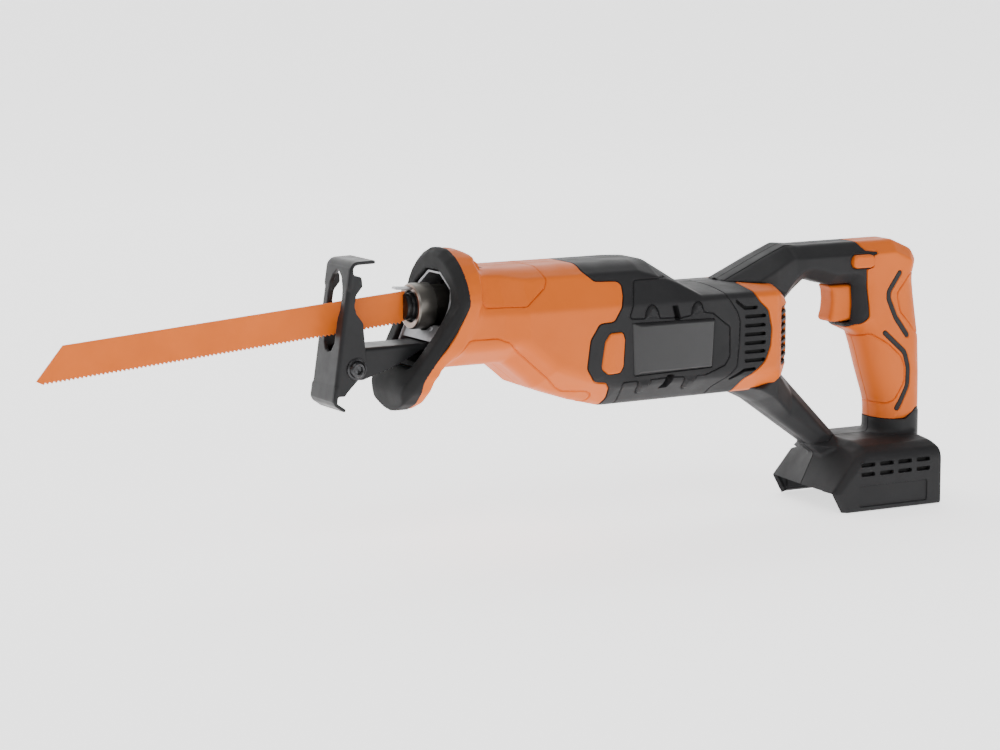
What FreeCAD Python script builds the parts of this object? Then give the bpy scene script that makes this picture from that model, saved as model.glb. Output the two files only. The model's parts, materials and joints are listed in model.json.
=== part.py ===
"""Cordless reciprocating saw with a D-shaped rear handle, as an assembly of separate sub-parts.

Outlines and places are given from the middle of the blade clamp's front face: X runs back towards
the handle along the plunger, Z is up, and Y = 0 is the plane where the casing halves meet.
Each sub-part's Placement then carries it to the saw's own frame, whose origin is the middle of
the bottom of its box, on the battery foot's lower rim.  Left is the side at -Y.
"""
import FreeCAD, Part
import math
import os

import Sketcher
from FreeCAD import Placement, Rotation, Vector

# Driving dimensions, in millimetres and counts.
DIMENSIONS = {
    "clamp_face_x": -65.9,
    "plunger_axis_z": 141.0,
    "wall": 2.6,
    "body_half_width": 37.0,
    "handle_half_width": 17.0,
    "foot_half_width": 40.0,
    "collar_depth": 8.0,
    "rim_wall": 1.6,
    "nose_length": 100.0,
    "main_length": 122.0,
    "cap_length": 28.0,
    "running_gap": 0.05,
    "seat_gap": 0.02,
    "plunger_radius": 8.0,
    "plunger_length": 64.0,
    "guide_radius": 6.0,
    "guide_length": 44.0,
    "clamp_radius": 10.0,
    "clamp_length": 24.0,
    "barrel_radius": 13.25,
    "blade_thickness": 1.24,
    "blade_height": 18.4,
    "tooth_pitch": 2.5,
    "tooth_depth": 1.3,
    "crank_x": 98.0,
    "crank_radius": 14.0,
    "crank_pin_radius": 4.0,
    "crank_shaft_radius": 6.0,
    "gear_top_z": -18.0,
    "gear_radius": 28.5,
    "gear_module": 1.3,
    "gear_teeth": 40,
    "pinion_teeth": 10,
    "pinion_x": 122.0,
    "pinion_width": 4.0,
    "motor_axis_z": -31.6,
    "motor_shaft_radius": 4.0,
    "motor_shaft_length": 118.0,
    "rotor_radius": 16.5,
    "rotor_length": 31.0,
    "stator_radius": 32.0,
    "stator_length": 28.0,
    "stator_x": 169.5,
    "fan_x": 201.5,
    "stator_teeth": 6,
    "fan_radius": 29.0,
    "fan_blades": 13,
    "shoe_half_width": 14.3,
    "shoe_sheet": 2.0,
    "pivot_x": -42.2,
    "pivot_z": -31.3,
    "pivot_radius": 4.0,
    "arm_half_width": 12.0,
    "arm_sheet": 3.6,
    "trigger_half_width": 9.0,
    "lock_half_length": 19.5,
    "screw_radius": 1.5,
    "screw_head_radius": 3.1,
    "boss_radius": 5.0,
    "spring_wire_radius": 0.4,
}

NODES = []
PLANE_ROLES = {"XY": "XY_Plane", "XZ": "XZ_Plane", "YZ": "YZ_Plane"}
AXIS_TURNS = {
    "X": Rotation(Vector(0, 1, 0), 90),
    "Y": Rotation(Vector(1, 0, 0), -90),
    "Z": Rotation(),
}

doc = FreeCAD.newDocument("reciprocating_saw")
sheet = doc.addObject("Spreadsheet::Sheet", "Dims")
for row, (alias, value) in enumerate(DIMENSIONS.items(), start=1):
    sheet.set("A%d" % row, alias)
    sheet.set("B%d" % row, str(value))
    sheet.setAlias("B%d" % row, alias)
doc.recompute()


# ---------------------------------------------------------------- helpers

def dim(alias):
    return DIMENSIONS[alias]


def size(obj, prop, value):
    """Set a property from a number, or bind it when the value is an expression on the sheet."""
    if isinstance(value, str):
        obj.setExpression(prop, value)
    else:
        obj.setExpression(prop, None)
        target = obj
        *owners, last = prop.split(".")
        for owner in owners:
            target = getattr(target, owner)
        setattr(target, last, value)


def origin_plane(body, plane):
    for feature in body.Origin.OriginFeatures:
        if feature.Role == PLANE_ROLES[plane]:
            return feature
    raise ValueError(plane)


def draw(sketch, outline):
    """Draw a closed outline of straight lines through the given points."""
    corners = [Vector(a, b, 0) for a, b in outline]
    for start, end in zip(corners, corners[1:] + corners[:1]):
        sketch.addGeometry(Part.LineSegment(start, end), False)


def prism(name, plane, outlines, length, start=0.0):
    """A body whose outlines lie on one origin plane, padded by a length from a start offset.

    The pad runs along +Z from XY, along -Y from XZ and along +X from YZ.
    """
    body = doc.addObject("PartDesign::Body", name)
    sketch = body.newObject("Sketcher::SketchObject", name + "_outline")
    sketch.AttachmentSupport = [(origin_plane(body, plane), "")]
    sketch.MapMode = "FlatFace"
    if isinstance(start, str):
        sketch.setExpression("AttachmentOffset.Base.z", start)
    else:
        sketch.AttachmentOffset = Placement(Vector(0, 0, start), Rotation())
    if not isinstance(outlines[0][0], (tuple, list)):
        outlines = [outlines]
    for outline in outlines:
        draw(sketch, outline)
    pad = body.newObject("PartDesign::Pad", name + "_pad")
    pad.Profile = sketch
    size(pad, "Length", length)
    sketch.Visibility = False
    return body


def slab(name, outline, half_width):
    """A side-view outline, padded equally to both sides of Y = 0."""
    if isinstance(half_width, str):
        return prism(name, "XZ", outline, "2 * (%s)" % half_width, "-(%s)" % half_width)
    return prism(name, "XZ", outline, 2.0 * half_width, -half_width)


def block(name, low, high):
    box = doc.addObject("Part::Box", name)
    box.Length, box.Width, box.Height = [b - a for a, b in zip(low, high)]
    box.Placement = Placement(Vector(*low), Rotation())
    return box


def rod(name, axis, start, radius, length):
    """A cylinder from its start point along a row axis."""
    cylinder = doc.addObject("Part::Cylinder", name)
    size(cylinder, "Radius", radius)
    size(cylinder, "Height", length)
    cylinder.Placement = Placement(Vector(*start), AXIS_TURNS[axis])
    return cylinder


def fuse(name, pieces):
    result = doc.addObject("Part::MultiFuse", name)
    result.Shapes = pieces
    return result


def common(name, pieces):
    result = doc.addObject("Part::MultiCommon", name)
    result.Shapes = pieces
    return result


def cut(name, base, tools):
    if not isinstance(tools, list):
        tools = [tools]
    tool = tools[0] if len(tools) == 1 else fuse(name + "_cutters", tools)
    result = doc.addObject("Part::Cut", name)
    result.Base = base
    result.Tool = tool
    return result


def ring(name, axis, start, outer, inner, length):
    """A tube from its start point along a row axis."""
    over = 1.0
    back = {"X": (over, 0, 0), "Y": (0, over, 0), "Z": (0, 0, over)}[axis]
    bore_start = tuple(a - b for a, b in zip(start, back))
    bore_length = "(%s) + 2" % length if isinstance(length, str) else length + 2 * over
    return cut(name, rod(name + "_outer", axis, start, outer, length),
               rod(name + "_bore", axis, bore_start, inner, bore_length))


def sub_part(obj, label, x=None):
    """Name a finished sub-part and carry it, with its own place, to the saw's frame."""
    own = obj.Placement.Base
    obj.Label = label
    obj.setExpression("Placement.Base.x", "Dims.clamp_face_x + (%s)" % (x or "%.6f" % own.x))
    obj.setExpression("Placement.Base.z", "Dims.plunger_axis_z + (%.6f)" % own.z)
    NODES.append(obj)
    return obj


def shaped_part(shape, label):
    """A sub-part from a ready-made shape, such as a coil spring."""
    obj = doc.addObject("Part::Feature", label + "_shape")
    obj.Shape = shape
    obj.Placement = Placement(Vector(), Rotation())
    return sub_part(obj, label)


def inset(points, distance):
    """Shift every edge of a closed outline inwards by a distance."""
    count = len(points)
    area = sum(points[i - 1][0] * points[i][1] - points[i][0] * points[i - 1][1]
               for i in range(count))
    side = 1.0 if area > 0 else -1.0
    lines = []
    for i in range(count):
        (x0, z0), (x1, z1) = points[i], points[(i + 1) % count]
        run = math.hypot(x1 - x0, z1 - z0)
        nx, nz = -(z1 - z0) / run * side, (x1 - x0) / run * side
        lines.append((nx, nz, nx * x0 + nz * z0 + distance))
    result = []
    for i in range(count):
        a1, b1, c1 = lines[i - 1]
        a2, b2, c2 = lines[i]
        det = a1 * b2 - a2 * b1
        result.append(((c1 * b2 - c2 * b1) / det, (a1 * c2 - a2 * c1) / det))
    return result


def mirrored(half):
    """Close a right-hand outline (y >= 0, from top to bottom) with its left-hand mirror image."""
    left = [(-y, z) for y, z in reversed(half)]
    return half + left


def polar(radius, degrees):
    angle = math.radians(degrees)
    return radius * math.cos(angle), radius * math.sin(angle)


def half_box(name, side):
    """The space to one side of Y = 0: side is -1 for left and +1 for right."""
    far = 120.0
    low_y, high_y = (-far, 0.0) if side < 0 else (0.0, far)
    return block(name, (-100.0, low_y, -200.0), (420.0, high_y, 100.0))


def split_casing(name, outer, cavity, screws, openings):
    """Hollow a casing and split it at Y = 0 into halves with screw bosses.

    The screws go in from the left, their heads at the bottom of deep pockets.
    """
    reach = 45.0
    bosses = [rod("%s_boss_%d" % (name, i), "Y", (x, -reach, z), "Dims.boss_radius", 2 * reach)
              for i, (x, z) in enumerate(screws)]
    shell = cut(name + "_shell", outer, cavity)
    if bosses:
        inner_bosses = common(name + "_bosses", [outer, fuse(name + "_boss_rods", bosses)]
                              if len(bosses) > 1 else [outer, bosses[0]])
        shell = fuse(name + "_with_bosses", [shell, inner_bosses])
    cutters = list(openings)
    for i, (x, z) in enumerate(screws):
        cutters.append(rod("%s_screw_hole_%d" % (name, i), "Y", (x, -SCREW_SEAT - 0.1, z),
                           "Dims.screw_radius + Dims.seat_gap", SCREW_SEAT + SCREW_GRIP + 0.3))
        cutters.append(rod("%s_pocket_%d" % (name, i), "Y", (x, -reach, z),
                           "Dims.screw_head_radius + 0.2", reach - SCREW_SEAT))
        SCREWS.append((x, z))
    hollow = cut(name + "_open", shell, cutters) if cutters else shell
    for side, word in ((-1, "left"), (1, "right")):
        sub_part(common("%s_%s" % (name, word), [hollow, half_box("%s_%s_side" % (name, word), side)]),
                 "%s_%s" % (name, word))


SCREWS = []
SCREW_SEAT = 10.5
SCREW_GRIP = 9.0
WALL = dim("wall")
MOTOR_Z = dim("motor_axis_z")
CRANK_X = dim("crank_x")
NOSE_END = dim("nose_length")
MAIN_END = NOSE_END + dim("main_length")
CAP_END = MAIN_END + dim("cap_length")


# ---------------------------------------------------------------- casing outlines

# Where the flange's back and front faces lean, from top to bottom.
COLLAR_FRONT = [(14.0, 33.0), (14.0, 2.0), (-13.0, -43.0), (-10.5, -59.0)]
COLLAR_BACK = [(x + dim("collar_depth"), z) for x, z in COLLAR_FRONT]
COLLAR_SECTION = mirrored([(9.0, 33.0), (20.0, 26.0), (29.0, 14.5), (35.5, 4.5), (34.0, -8.0),
                           (31.5, -22.0), (27.5, -40.0), (19.5, -51.0), (9.0, -58.5)])
OPENING = mirrored([(7.5, 20.5), (21.0, 11.5), (22.0, -2.0), (21.5, -14.0), (18.0, -27.0),
                    (14.5, -35.0)])

NOSE_TOP = [(26.8, 32.6), (33.2, 29.2), (40.3, 21.7), (NOSE_END, 21.7)]
NOSE_BELLY = [(NOSE_END, -62.0), (94.6, -60.7), (79.0, -55.0), (69.7, -51.4), (63.6, -46.0),
              (50.0, -34.5), (26.0, -34.5), (7.6, -51.2), (-0.5, -58.9)]
NOSE_SIDE = [(22.0, 32.6)] + NOSE_TOP + NOSE_BELLY + [(-2.5, -58.9)] + COLLAR_BACK[2:0:-1]
NOSE_CORE = NOSE_SIDE[:-4] + [(5.0, -49.0), (-4.4, -47.0)] + COLLAR_BACK[2:0:-1]
NOSE_SECTION = mirrored([(9.5, 32.6), (20.0, 26.0), (30.0, 14.5), (35.5, 4.5), (37.0, -4.0),
                         (35.5, -22.0), (32.5, -42.0), (24.0, -55.0), (12.0, -62.5)])

MAIN_SIDE = [(NOSE_END, 21.7), (148.0, 21.7), (158.0, 15.7), (166.0, 10.2), (176.0, 3.8),
             (MAIN_END, 3.8), (MAIN_END, -67.0), (115.6, -66.6), (NOSE_END, -62.0)]
MAIN_SECTION = mirrored([(17.5, 21.7), (27.0, 17.0), (37.0, -4.0), (37.0, -47.0), (30.0, -58.5),
                         (17.5, -67.0)])
CAP_SIDE = [(MAIN_END, 3.8), (236.0, 3.8), (CAP_END, -9.0), (CAP_END, -54.0), (240.0, -67.0),
            (MAIN_END, -67.0)]
CAP_PLAN = [(MAIN_END, -37.0), (229.0, -37.0), (247.0, -19.0), (CAP_END, -14.0),
            (CAP_END, 14.0), (247.0, 19.0), (229.0, 37.0), (MAIN_END, 37.0)]
CAP_SECTION = mirrored([(17.5, 3.8), (37.0, -13.0), (37.0, -50.0), (17.5, -67.0)])

HANDLE_SIDE = [(205.0, 3.8), (250.5, 20.5), (260.0, 21.2), (331.0, 21.4),
               (348.7, 14.9), (353.2, 7.7), (351.8, -1.2), (353.0, -12.3), (357.7, -40.8),
               (358.8, -63.0), (359.4, -96.0), (318.5, -96.0), (317.9, -81.0), (310.8, -61.5),
               (306.3, -45.2), (304.6, -36.4), (309.0, -30.6), (308.0, -4.6), (284.0, -4.6),
               (273.0, -1.5), (267.3, -0.5), (257.5, -10.2), (250.0, -9.0), (236.0, 3.8)]
# The web under the trigger.
TRIGGER_LIP = [(297.5, -30.6), (311.0, -30.6), (311.0, -38.0), (304.8, -37.2), (298.0, -33.0)]
LOWER_ARM_SIDE = [(226.0, -67.0), (240.0, -67.0), (250.0, -54.0), (291.5, -96.0),
                  (269.5, -101.0)]
FOOT_SIDE = [(269.5, -101.0), (291.5, -96.0), (359.4, -96.0), (357.5, -101.5),
             (350.0, -108.0), (350.0, -141.0), (281.5, -141.0), (274.5, -129.0), (282.5, -109.5)]
FOOT_SECTION = mirrored([(17.0, -95.0), (29.0, -99.0), (40.0, -110.0), (40.0, -141.0)])


def moved(points, test, value):
    """Replace the X of the points that pass a test, to run a cavity out through an open end."""
    return [(value(x), z) if test(x) else (x, z) for x, z in points]


# ---------------------------------------------------------------- nose covers and collar

def nose_covers():
    outer = common("nose_outer", [slab("nose_side", NOSE_SIDE, "Dims.body_half_width"),
                                  prism("nose_section", "YZ", NOSE_SECTION, 130.0, -20.0)])
    inside = moved(inset(NOSE_CORE, WALL), lambda x: x > 97.0, lambda x: NOSE_END + 1.0)
    cavity = common("nose_cavity", [slab("nose_inside", inside, "Dims.body_half_width"),
                                    prism("nose_inner_section", "YZ", inset(NOSE_SECTION, WALL),
                                          130.0, -20.0)])
    mouth = prism("nose_mouth", "YZ", inset(OPENING, -0.3), 45.0, -20.0)
    split_casing("nose_cover", outer, cavity, [(33.5, 21.2), (36.5, -29.2)], [mouth])


def rubber_collar():
    side = COLLAR_FRONT + COLLAR_BACK[::-1]
    outer = common("collar_outer", [slab("collar_side", side, "Dims.body_half_width"),
                                    prism("collar_section", "YZ", COLLAR_SECTION, 50.0, -20.0)])
    mouth = prism("collar_mouth", "YZ", OPENING, 60.0, -25.0)
    sub_part(cut("collar", outer, mouth), "rubber_collar")


def front_plate():
    """Cast front rim: a thin wall that lines the collar's opening, with a sill under the clamp."""
    recess = 1.6
    front = [(x + recess, z) for x, z in COLLAR_FRONT]
    side = [front[0], front[1], front[2], (front[2][0] + 6.0, front[2][1]), (27.0, 2.0), (27.0, 33.0)]
    tube = prism("rim_outer", "YZ", OPENING, 60.0, -25.0)
    hollow = prism("rim_inner", "YZ", inset(OPENING, dim("rim_wall")), 62.0, -26.0)
    wall = common("rim_wall_piece", [slab("rim_side", side, 30.0), cut("rim_tube", tube, hollow)])
    sill_side = [(8.2, -14.6), (10.8, -14.6), (-1.4, -35.0), (-4.0, -35.0)]
    sill = common("sill", [slab("sill_side", sill_side, 30.0),
                           prism("sill_section", "YZ", OPENING, 60.0, -25.0)])
    slot = block("arm_notch", (-20.0, -12.9, -36.0), (20.0, 12.9, -19.3))
    sub_part(cut("front_plate_body", fuse("rim_and_sill", [wall, sill]), slot), "front_plate")


# ---------------------------------------------------------------- main housing and rear cap

VENT_ROWS = [-15.6, -21.1, -26.4, -31.6, -36.8, -42.0]


def main_housing():
    gear_part = common("gear_part", [slab("main_side", MAIN_SIDE, "Dims.body_half_width"),
                                     prism("main_section", "YZ", MAIN_SECTION, 80.0, NOSE_END)])
    motor_side = [(170.0, 3.8), (MAIN_END, 3.8), (MAIN_END, -67.0), (170.0, -67.0)]
    motor_part = common("motor_part", [slab("motor_side", motor_side, "Dims.body_half_width"),
                                       prism("motor_section", "YZ", CAP_SECTION, 60.0, 170.0)])
    outer = fuse("main_outer", [gear_part, motor_part])
    gear_inside = moved(inset(MAIN_SIDE, WALL), lambda x: x < 104.0, lambda x: 99.0)
    gear_inside = moved(gear_inside, lambda x: x > 200.0, lambda x: MAIN_END + 1.0)
    gear_cavity = common("gear_cavity", [
        slab("gear_inside", gear_inside, "Dims.body_half_width"),
        prism("gear_inner_section", "YZ", inset(MAIN_SECTION, WALL), 79.0, 98.0)])
    motor_cavity = prism("motor_cavity", "YZ", inset(CAP_SECTION, WALL), 56.0, 168.0)
    cavity = fuse("main_cavity", [gear_cavity, motor_cavity])
    openings = [block("main_vent_%d" % i, (204.5, -45.0, z - 1.15), (219.4, 45.0, z + 1.15))
                for i, z in enumerate(VENT_ROWS)]
    openings.append(block("button_hole", (105.8, -45.0, -43.3), (121.3, -20.0, -18.3)))
    split_casing("main_housing", outer, cavity, [(147.5, 12.4), (151.0, -57.6), (216.8, -60.2)],
                 openings)


def rear_end_cap():
    outer = common("cap_outer", [slab("cap_side", CAP_SIDE, "Dims.body_half_width"),
                                 prism("cap_section", "YZ", CAP_SECTION, 40.0, MAIN_END),
                                 prism("cap_plan", "XY", CAP_PLAN, 90.0, -75.0)])
    inner_side = moved(inset(CAP_SIDE, WALL), lambda x: x < 226.0, lambda x: MAIN_END - 1.0)
    inner_plan = [(MAIN_END - 1.0 if x < 226.0 else x, y) for x, y in inset(CAP_PLAN, WALL)]
    cavity = common("cap_cavity", [slab("cap_inside", inner_side, "Dims.body_half_width"),
                                   prism("cap_inner_section", "YZ", inset(CAP_SECTION, WALL), 40.0,
                                         MAIN_END - 1.0),
                                   prism("cap_inner_plan", "XY", inner_plan, 90.0, -75.0)])
    seat = ring("cap_seat", "X", (227.0, 0.0, MOTOR_Z), 12.0, "8 + Dims.seat_gap", 21.0)
    shell = fuse("cap_shell", [cut("cap_hollow", outer, cavity), seat])
    rows = [-16.0 - 5.2 * i for i in range(7)]
    slots = []
    for side in (-1, 1):
        for i, z in enumerate(rows):
            low_y, high_y = sorted((side * 21.0, side * 33.0))
            slots.append(block("cap_slot_%s%d" % ("l" if side < 0 else "r", i),
                               (226.0, low_y, z - 1.2), (255.0, high_y, z + 1.2)))
    sub_part(cut("cap", shell, slots), "rear_end_cap")


# ---------------------------------------------------------------- handle and foot

def handle():
    outer = fuse("handle_outer", [slab("handle_side", HANDLE_SIDE, "Dims.handle_half_width"),
                                  slab("trigger_lip", TRIGGER_LIP, 12.0)])
    cavity = slab("handle_inside", inset(HANDLE_SIDE, WALL), "Dims.handle_half_width - Dims.wall")
    pocket = block("trigger_pocket", (280.0, -9.5, -30.4), (318.5, 9.5, -5.0))
    lock_hole = block("lock_hole", (295.9, -20.0, 5.6), (312.1, 20.0, 13.6))
    split_casing("handle", outer, cavity, [(248.0, 9.0), (282.5, 8.6), (340.5, -46.0), (338.0, -88.0)],
                 [pocket, lock_hole])
    pad = [(313.5, -38.0), (321.0, 1.0), (346.0, 1.0), (347.0, -14.0), (352.0, -42.0),
           (353.0, -86.0), (325.0, -86.0)]
    for side, word in ((-1, "left"), (1, "right")):
        start = "Dims.handle_half_width" if side < 0 else "-Dims.handle_half_width - 1.2"
        sub_part(prism("grip_pad_" + word, "XZ", pad, 1.2, start), "grip_pad_" + word)


def lower_arm():
    outer = slab("arm_outer", LOWER_ARM_SIDE, "Dims.handle_half_width")
    cavity = slab("arm_inside", inset(LOWER_ARM_SIDE, WALL), "Dims.handle_half_width - Dims.wall")
    split_casing("lower_arm", outer, cavity, [(256.0, -75.0)], [])


def battery_foot():
    outer = common("foot_outer", [slab("foot_side", FOOT_SIDE, "Dims.foot_half_width"),
                                  prism("foot_section", "YZ", FOOT_SECTION, 120.0, 250.0)])
    inside = [(x, -142.0) if z < -137.0 else (x, z) for x, z in inset(FOOT_SIDE, WALL)]
    inner_section = [(y, -142.0) if z < -137.0 else (y, z) for y, z in inset(FOOT_SECTION, WALL)]
    cavity = common("foot_cavity", [slab("foot_inside", inside, "Dims.foot_half_width"),
                                    prism("foot_inner_section", "YZ", inner_section, 120.0, 250.0)])
    slots = []
    for row_index, z in enumerate((-112.6, -118.2)):
        for column in range(4):
            low_x = 289.0 + 13.6 * column
            slots.append(block("foot_slot_%d_%d" % (row_index, column), (low_x, -45.0, z - 1.0),
                               (low_x + 10.0, 45.0, z + 1.0)))
    front_mouth = block("foot_front_mouth", (265.0, -33.0, -145.0), (284.0, 33.0, -127.5))
    split_casing("battery_foot", outer, cavity, [(345.0, -103.8)], slots + [front_mouth])


def foot_contents():
    body = block("terminal_body", (302.0, -16.0, -128.0), (338.0, 16.0, -112.0))
    lanes = [-11.2, -3.9, 3.9, 11.2]
    slots = [block("terminal_slot_%d" % i, (301.0, y - 1.8, -129.0), (333.0, y + 1.8, -116.0))
             for i, y in enumerate(lanes)]
    sub_part(cut("terminal_block_body", body, slots), "terminal_block")
    blades = [block("terminal_blade_%d" % i, (306.0, y - 0.4, -126.5), (333.0, y + 0.4, -116.0))
              for i, y in enumerate(lanes)]
    sub_part(fuse("terminal_blades", blades), "battery_terminals")
    sub_part(block("control_board_plate", (298.0, -22.0, -110.6), (338.0, 22.0, -109.0)),
             "control_board")
    inner_face = dim("foot_half_width") - WALL
    for side, word in ((-1, "left"), (1, "right")):
        low_y, high_y = sorted((side * 31.0, side * inner_face))
        sub_part(block("rail_" + word, (285.0, low_y, -124.0), (347.4, high_y, -121.0)),
                 "battery_rail_" + word)


# ---------------------------------------------------------------- trigger and buttons

def trigger():
    side = [(284.5, -5.4), (286.3, -8.5), (286.8, -15.0), (285.6, -22.0), (284.0, -27.0),
            (286.0, -29.6), (309.0, -29.6), (309.0, -5.4)]
    sub_part(slab("trigger_body", side, "Dims.trigger_half_width"), "trigger")
    sub_part(fuse("switch", [block("switch_case", (320.0, -9.0, -32.0), (342.0, 9.0, 3.0)),
                             block("switch_nose", (319.0, -3.0, -20.0), (320.0, 3.0, -14.0))]),
             "trigger_switch")


def lock_button():
    low_x, high_x, low_z, high_z, corner = 296.3, 311.7, 6.0, 13.2, 1.6
    outline = [(low_x + corner, low_z), (high_x - corner, low_z), (high_x, low_z + corner),
               (high_x, high_z - corner), (high_x - corner, high_z), (low_x + corner, high_z),
               (low_x, high_z - corner), (low_x, low_z + corner)]
    sub_part(slab("lock_bolt", outline, "Dims.lock_half_length"), "lock_button")


def shoe_button():
    outline = [(109.0, -18.8), (119.6, -18.8), (120.9, -22.0), (120.9, -38.5), (118.2, -42.8),
               (110.5, -42.8), (106.2, -39.5), (107.0, -24.0)]
    sub_part(prism("button_body", "XZ", outline, 4.2, 34.0), "shoe_release_button")


def coil_spring(label, axis, start, length, radius, wire, turns):
    """A round-wire coil along a row axis, its wire inside the stated length."""
    span = length - 2 * wire
    helix = Part.makeHelix(span / turns, span, radius - wire)
    profile = Part.Wire(Part.makeCircle(wire, Vector(radius - wire, 0, 0), Vector(0, 1, 0)))
    coil = Part.Wire(helix).makePipeShell([profile], True, True)
    lead = {"X": Vector(wire, 0, 0), "Y": Vector(0, wire, 0), "Z": Vector(0, 0, wire)}[axis]
    coil.Placement = Placement(Vector(*start) + lead, AXIS_TURNS[axis])
    carrier = Part.makeCompound([coil])
    return shaped_part(carrier, label)


def label_panels():
    outline = [(130.5, -15.5), (174.5, -15.9), (174.5, -43.0), (131.3, -43.0)]
    for side, word in ((-1, "left"), (1, "right")):
        start = "Dims.body_half_width" if side < 0 else "-Dims.body_half_width - 0.8"
        sub_part(prism("side_panel_" + word, "XZ", outline, 0.8, start), "side_panel_" + word)


# ---------------------------------------------------------------- shoe

def shoe():
    half = dim("shoe_half_width")
    sheet_thickness = dim("shoe_sheet")
    plate = slab("shoe_plate", [(-46.0, 24.0), (-55.0, -50.6), (-52.8, -50.9), (-43.8, 23.7)], half)
    top_curl = slab("shoe_top", [(-46.0, 24.0), (-43.5, 28.2), (-30.0, 30.0), (-30.0, 28.0),
                                 (-42.3, 26.3), (-43.8, 23.7)], half)
    low_curl = slab("shoe_low", [(-55.0, -50.6), (-53.4, -54.4), (-48.8, -56.0), (-48.8, -54.0),
                                 (-52.0, -52.8), (-52.8, -50.9)], half)
    ear = [(-44.4, 20.0), (-38.3, 20.3), (-37.6, 14.1), (-41.6, 10.3), (-41.9, 3.4), (-40.4, -1.0),
           (-37.0, -5.1), (-35.2, -24.5), (-36.6, -32.0), (-39.5, -37.7), (-43.5, -42.6),
           (-48.0, -46.7), (-52.5, -47.2)]
    inner = half - sheet_thickness
    ears = [prism("shoe_ear_left", "XZ", ear, sheet_thickness, inner),
            prism("shoe_ear_right", "XZ", ear, sheet_thickness, -half)]
    window = block("blade_window", (-62.0, -5.0, -22.0), (-35.0, 5.0, 23.6))
    pin_hole = rod("shoe_pin_hole", "Y", (dim("pivot_x"), -30.0, dim("pivot_z")),
                   "Dims.pivot_radius + Dims.running_gap", 60.0)
    sub_part(cut("shoe_body", fuse("shoe_sheet_piece", [plate, top_curl, low_curl] + ears),
                 [window, pin_hole]), "shoe")


def shoe_arm():
    top = -20.0
    low = top - dim("arm_sheet")
    bar = slab("arm_bar", [(-44.0, low), (42.0, low), (42.0, top), (-44.0, top)],
               "Dims.arm_half_width")
    cheek = [(-44.0, top), (1.3, top), (1.3, low), (-17.4, -32.6), (-36.7, -38.4), (-44.0, -38.0),
             (-47.6, -34.0), (-47.6, -27.0)]
    cheeks = [prism("arm_cheek_left", "XZ", cheek, 2.2, 9.8),
              prism("arm_cheek_right", "XZ", cheek, 2.2, -12.0)]
    hole = rod("arm_pin_hole", "Y", (dim("pivot_x"), -30.0, dim("pivot_z")),
               "Dims.pivot_radius + Dims.seat_gap", 60.0)
    sub_part(cut("arm", fuse("arm_piece", [bar] + cheeks), hole), "shoe_arm")
    pin = rod("pin_shank", "Y", (dim("pivot_x"), -14.4, dim("pivot_z")), "Dims.pivot_radius", 30.4)
    head = rod("pin_head", "Y", (dim("pivot_x"), -16.6, dim("pivot_z")), 6.2, 2.2)
    clip = rod("pin_clip", "Y", (dim("pivot_x"), 14.4, dim("pivot_z")), 5.4, 1.4)
    socket_outline = [(dim("pivot_x") + polar(2.6, 60 * i)[0], dim("pivot_z") + polar(2.6, 60 * i)[1])
                      for i in range(6)]
    socket = prism("pin_socket", "XZ", socket_outline, 3.0, 14.6)
    sub_part(cut("pin", fuse("pin_piece", [pin, head, clip]), socket), "shoe_pivot_pin")


def shoe_guide():
    """The channel on the gear case's underside that the shoe's arm slides in."""
    outer = block("guide_outer", (42.5, -16.5, -28.0), (61.5, 16.5, -17.0))
    slot = block("guide_slot", (41.0, -12.3, -23.9), (62.0, 12.3, -19.7))
    sub_part(cut("guide", outer, slot), "shoe_guide")


# ---------------------------------------------------------------- blade and clamp

def blade():
    """The tip hangs lower than the tang; teeth run along the whole lower edge."""
    pitch, depth = dim("tooth_pitch"), dim("tooth_depth")
    top_back, top_tip = (-4.0, 9.0), (-212.0, -7.4)
    nose_point, low_tip = (-227.6, -26.1), (-223.6, -28.1)
    low_back = (-4.0, -9.3)
    run = math.hypot(low_back[0] - low_tip[0], low_back[1] - low_tip[1])
    ux, uz = (low_back[0] - low_tip[0]) / run, (low_back[1] - low_tip[1]) / run
    teeth = []
    for i in range(int(run / pitch)):
        start = i * pitch
        teeth.append((low_tip[0] + ux * start, low_tip[1] + uz * start))
        rise = start + 0.35 * pitch
        teeth.append((low_tip[0] + ux * rise - uz * depth, low_tip[1] + uz * rise + ux * depth))
    tang = [(-4.0, -6.4), (19.0, -5.2), (19.0, 6.6), (-4.0, 6.4)]
    outline = teeth + [(-4.0, -9.3 + depth)] + tang + [top_back, top_tip, nose_point]
    outline = [p for i, p in enumerate(outline) if p != outline[i - 1]]
    body = slab("blade_sheet", outline, "Dims.blade_thickness / 2")
    hole = rod("blade_hole", "Y", (12.0, -5.0, 0.0), 2.2, 10.0)
    sub_part(cut("blade_body", body, hole), "blade")


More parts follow.
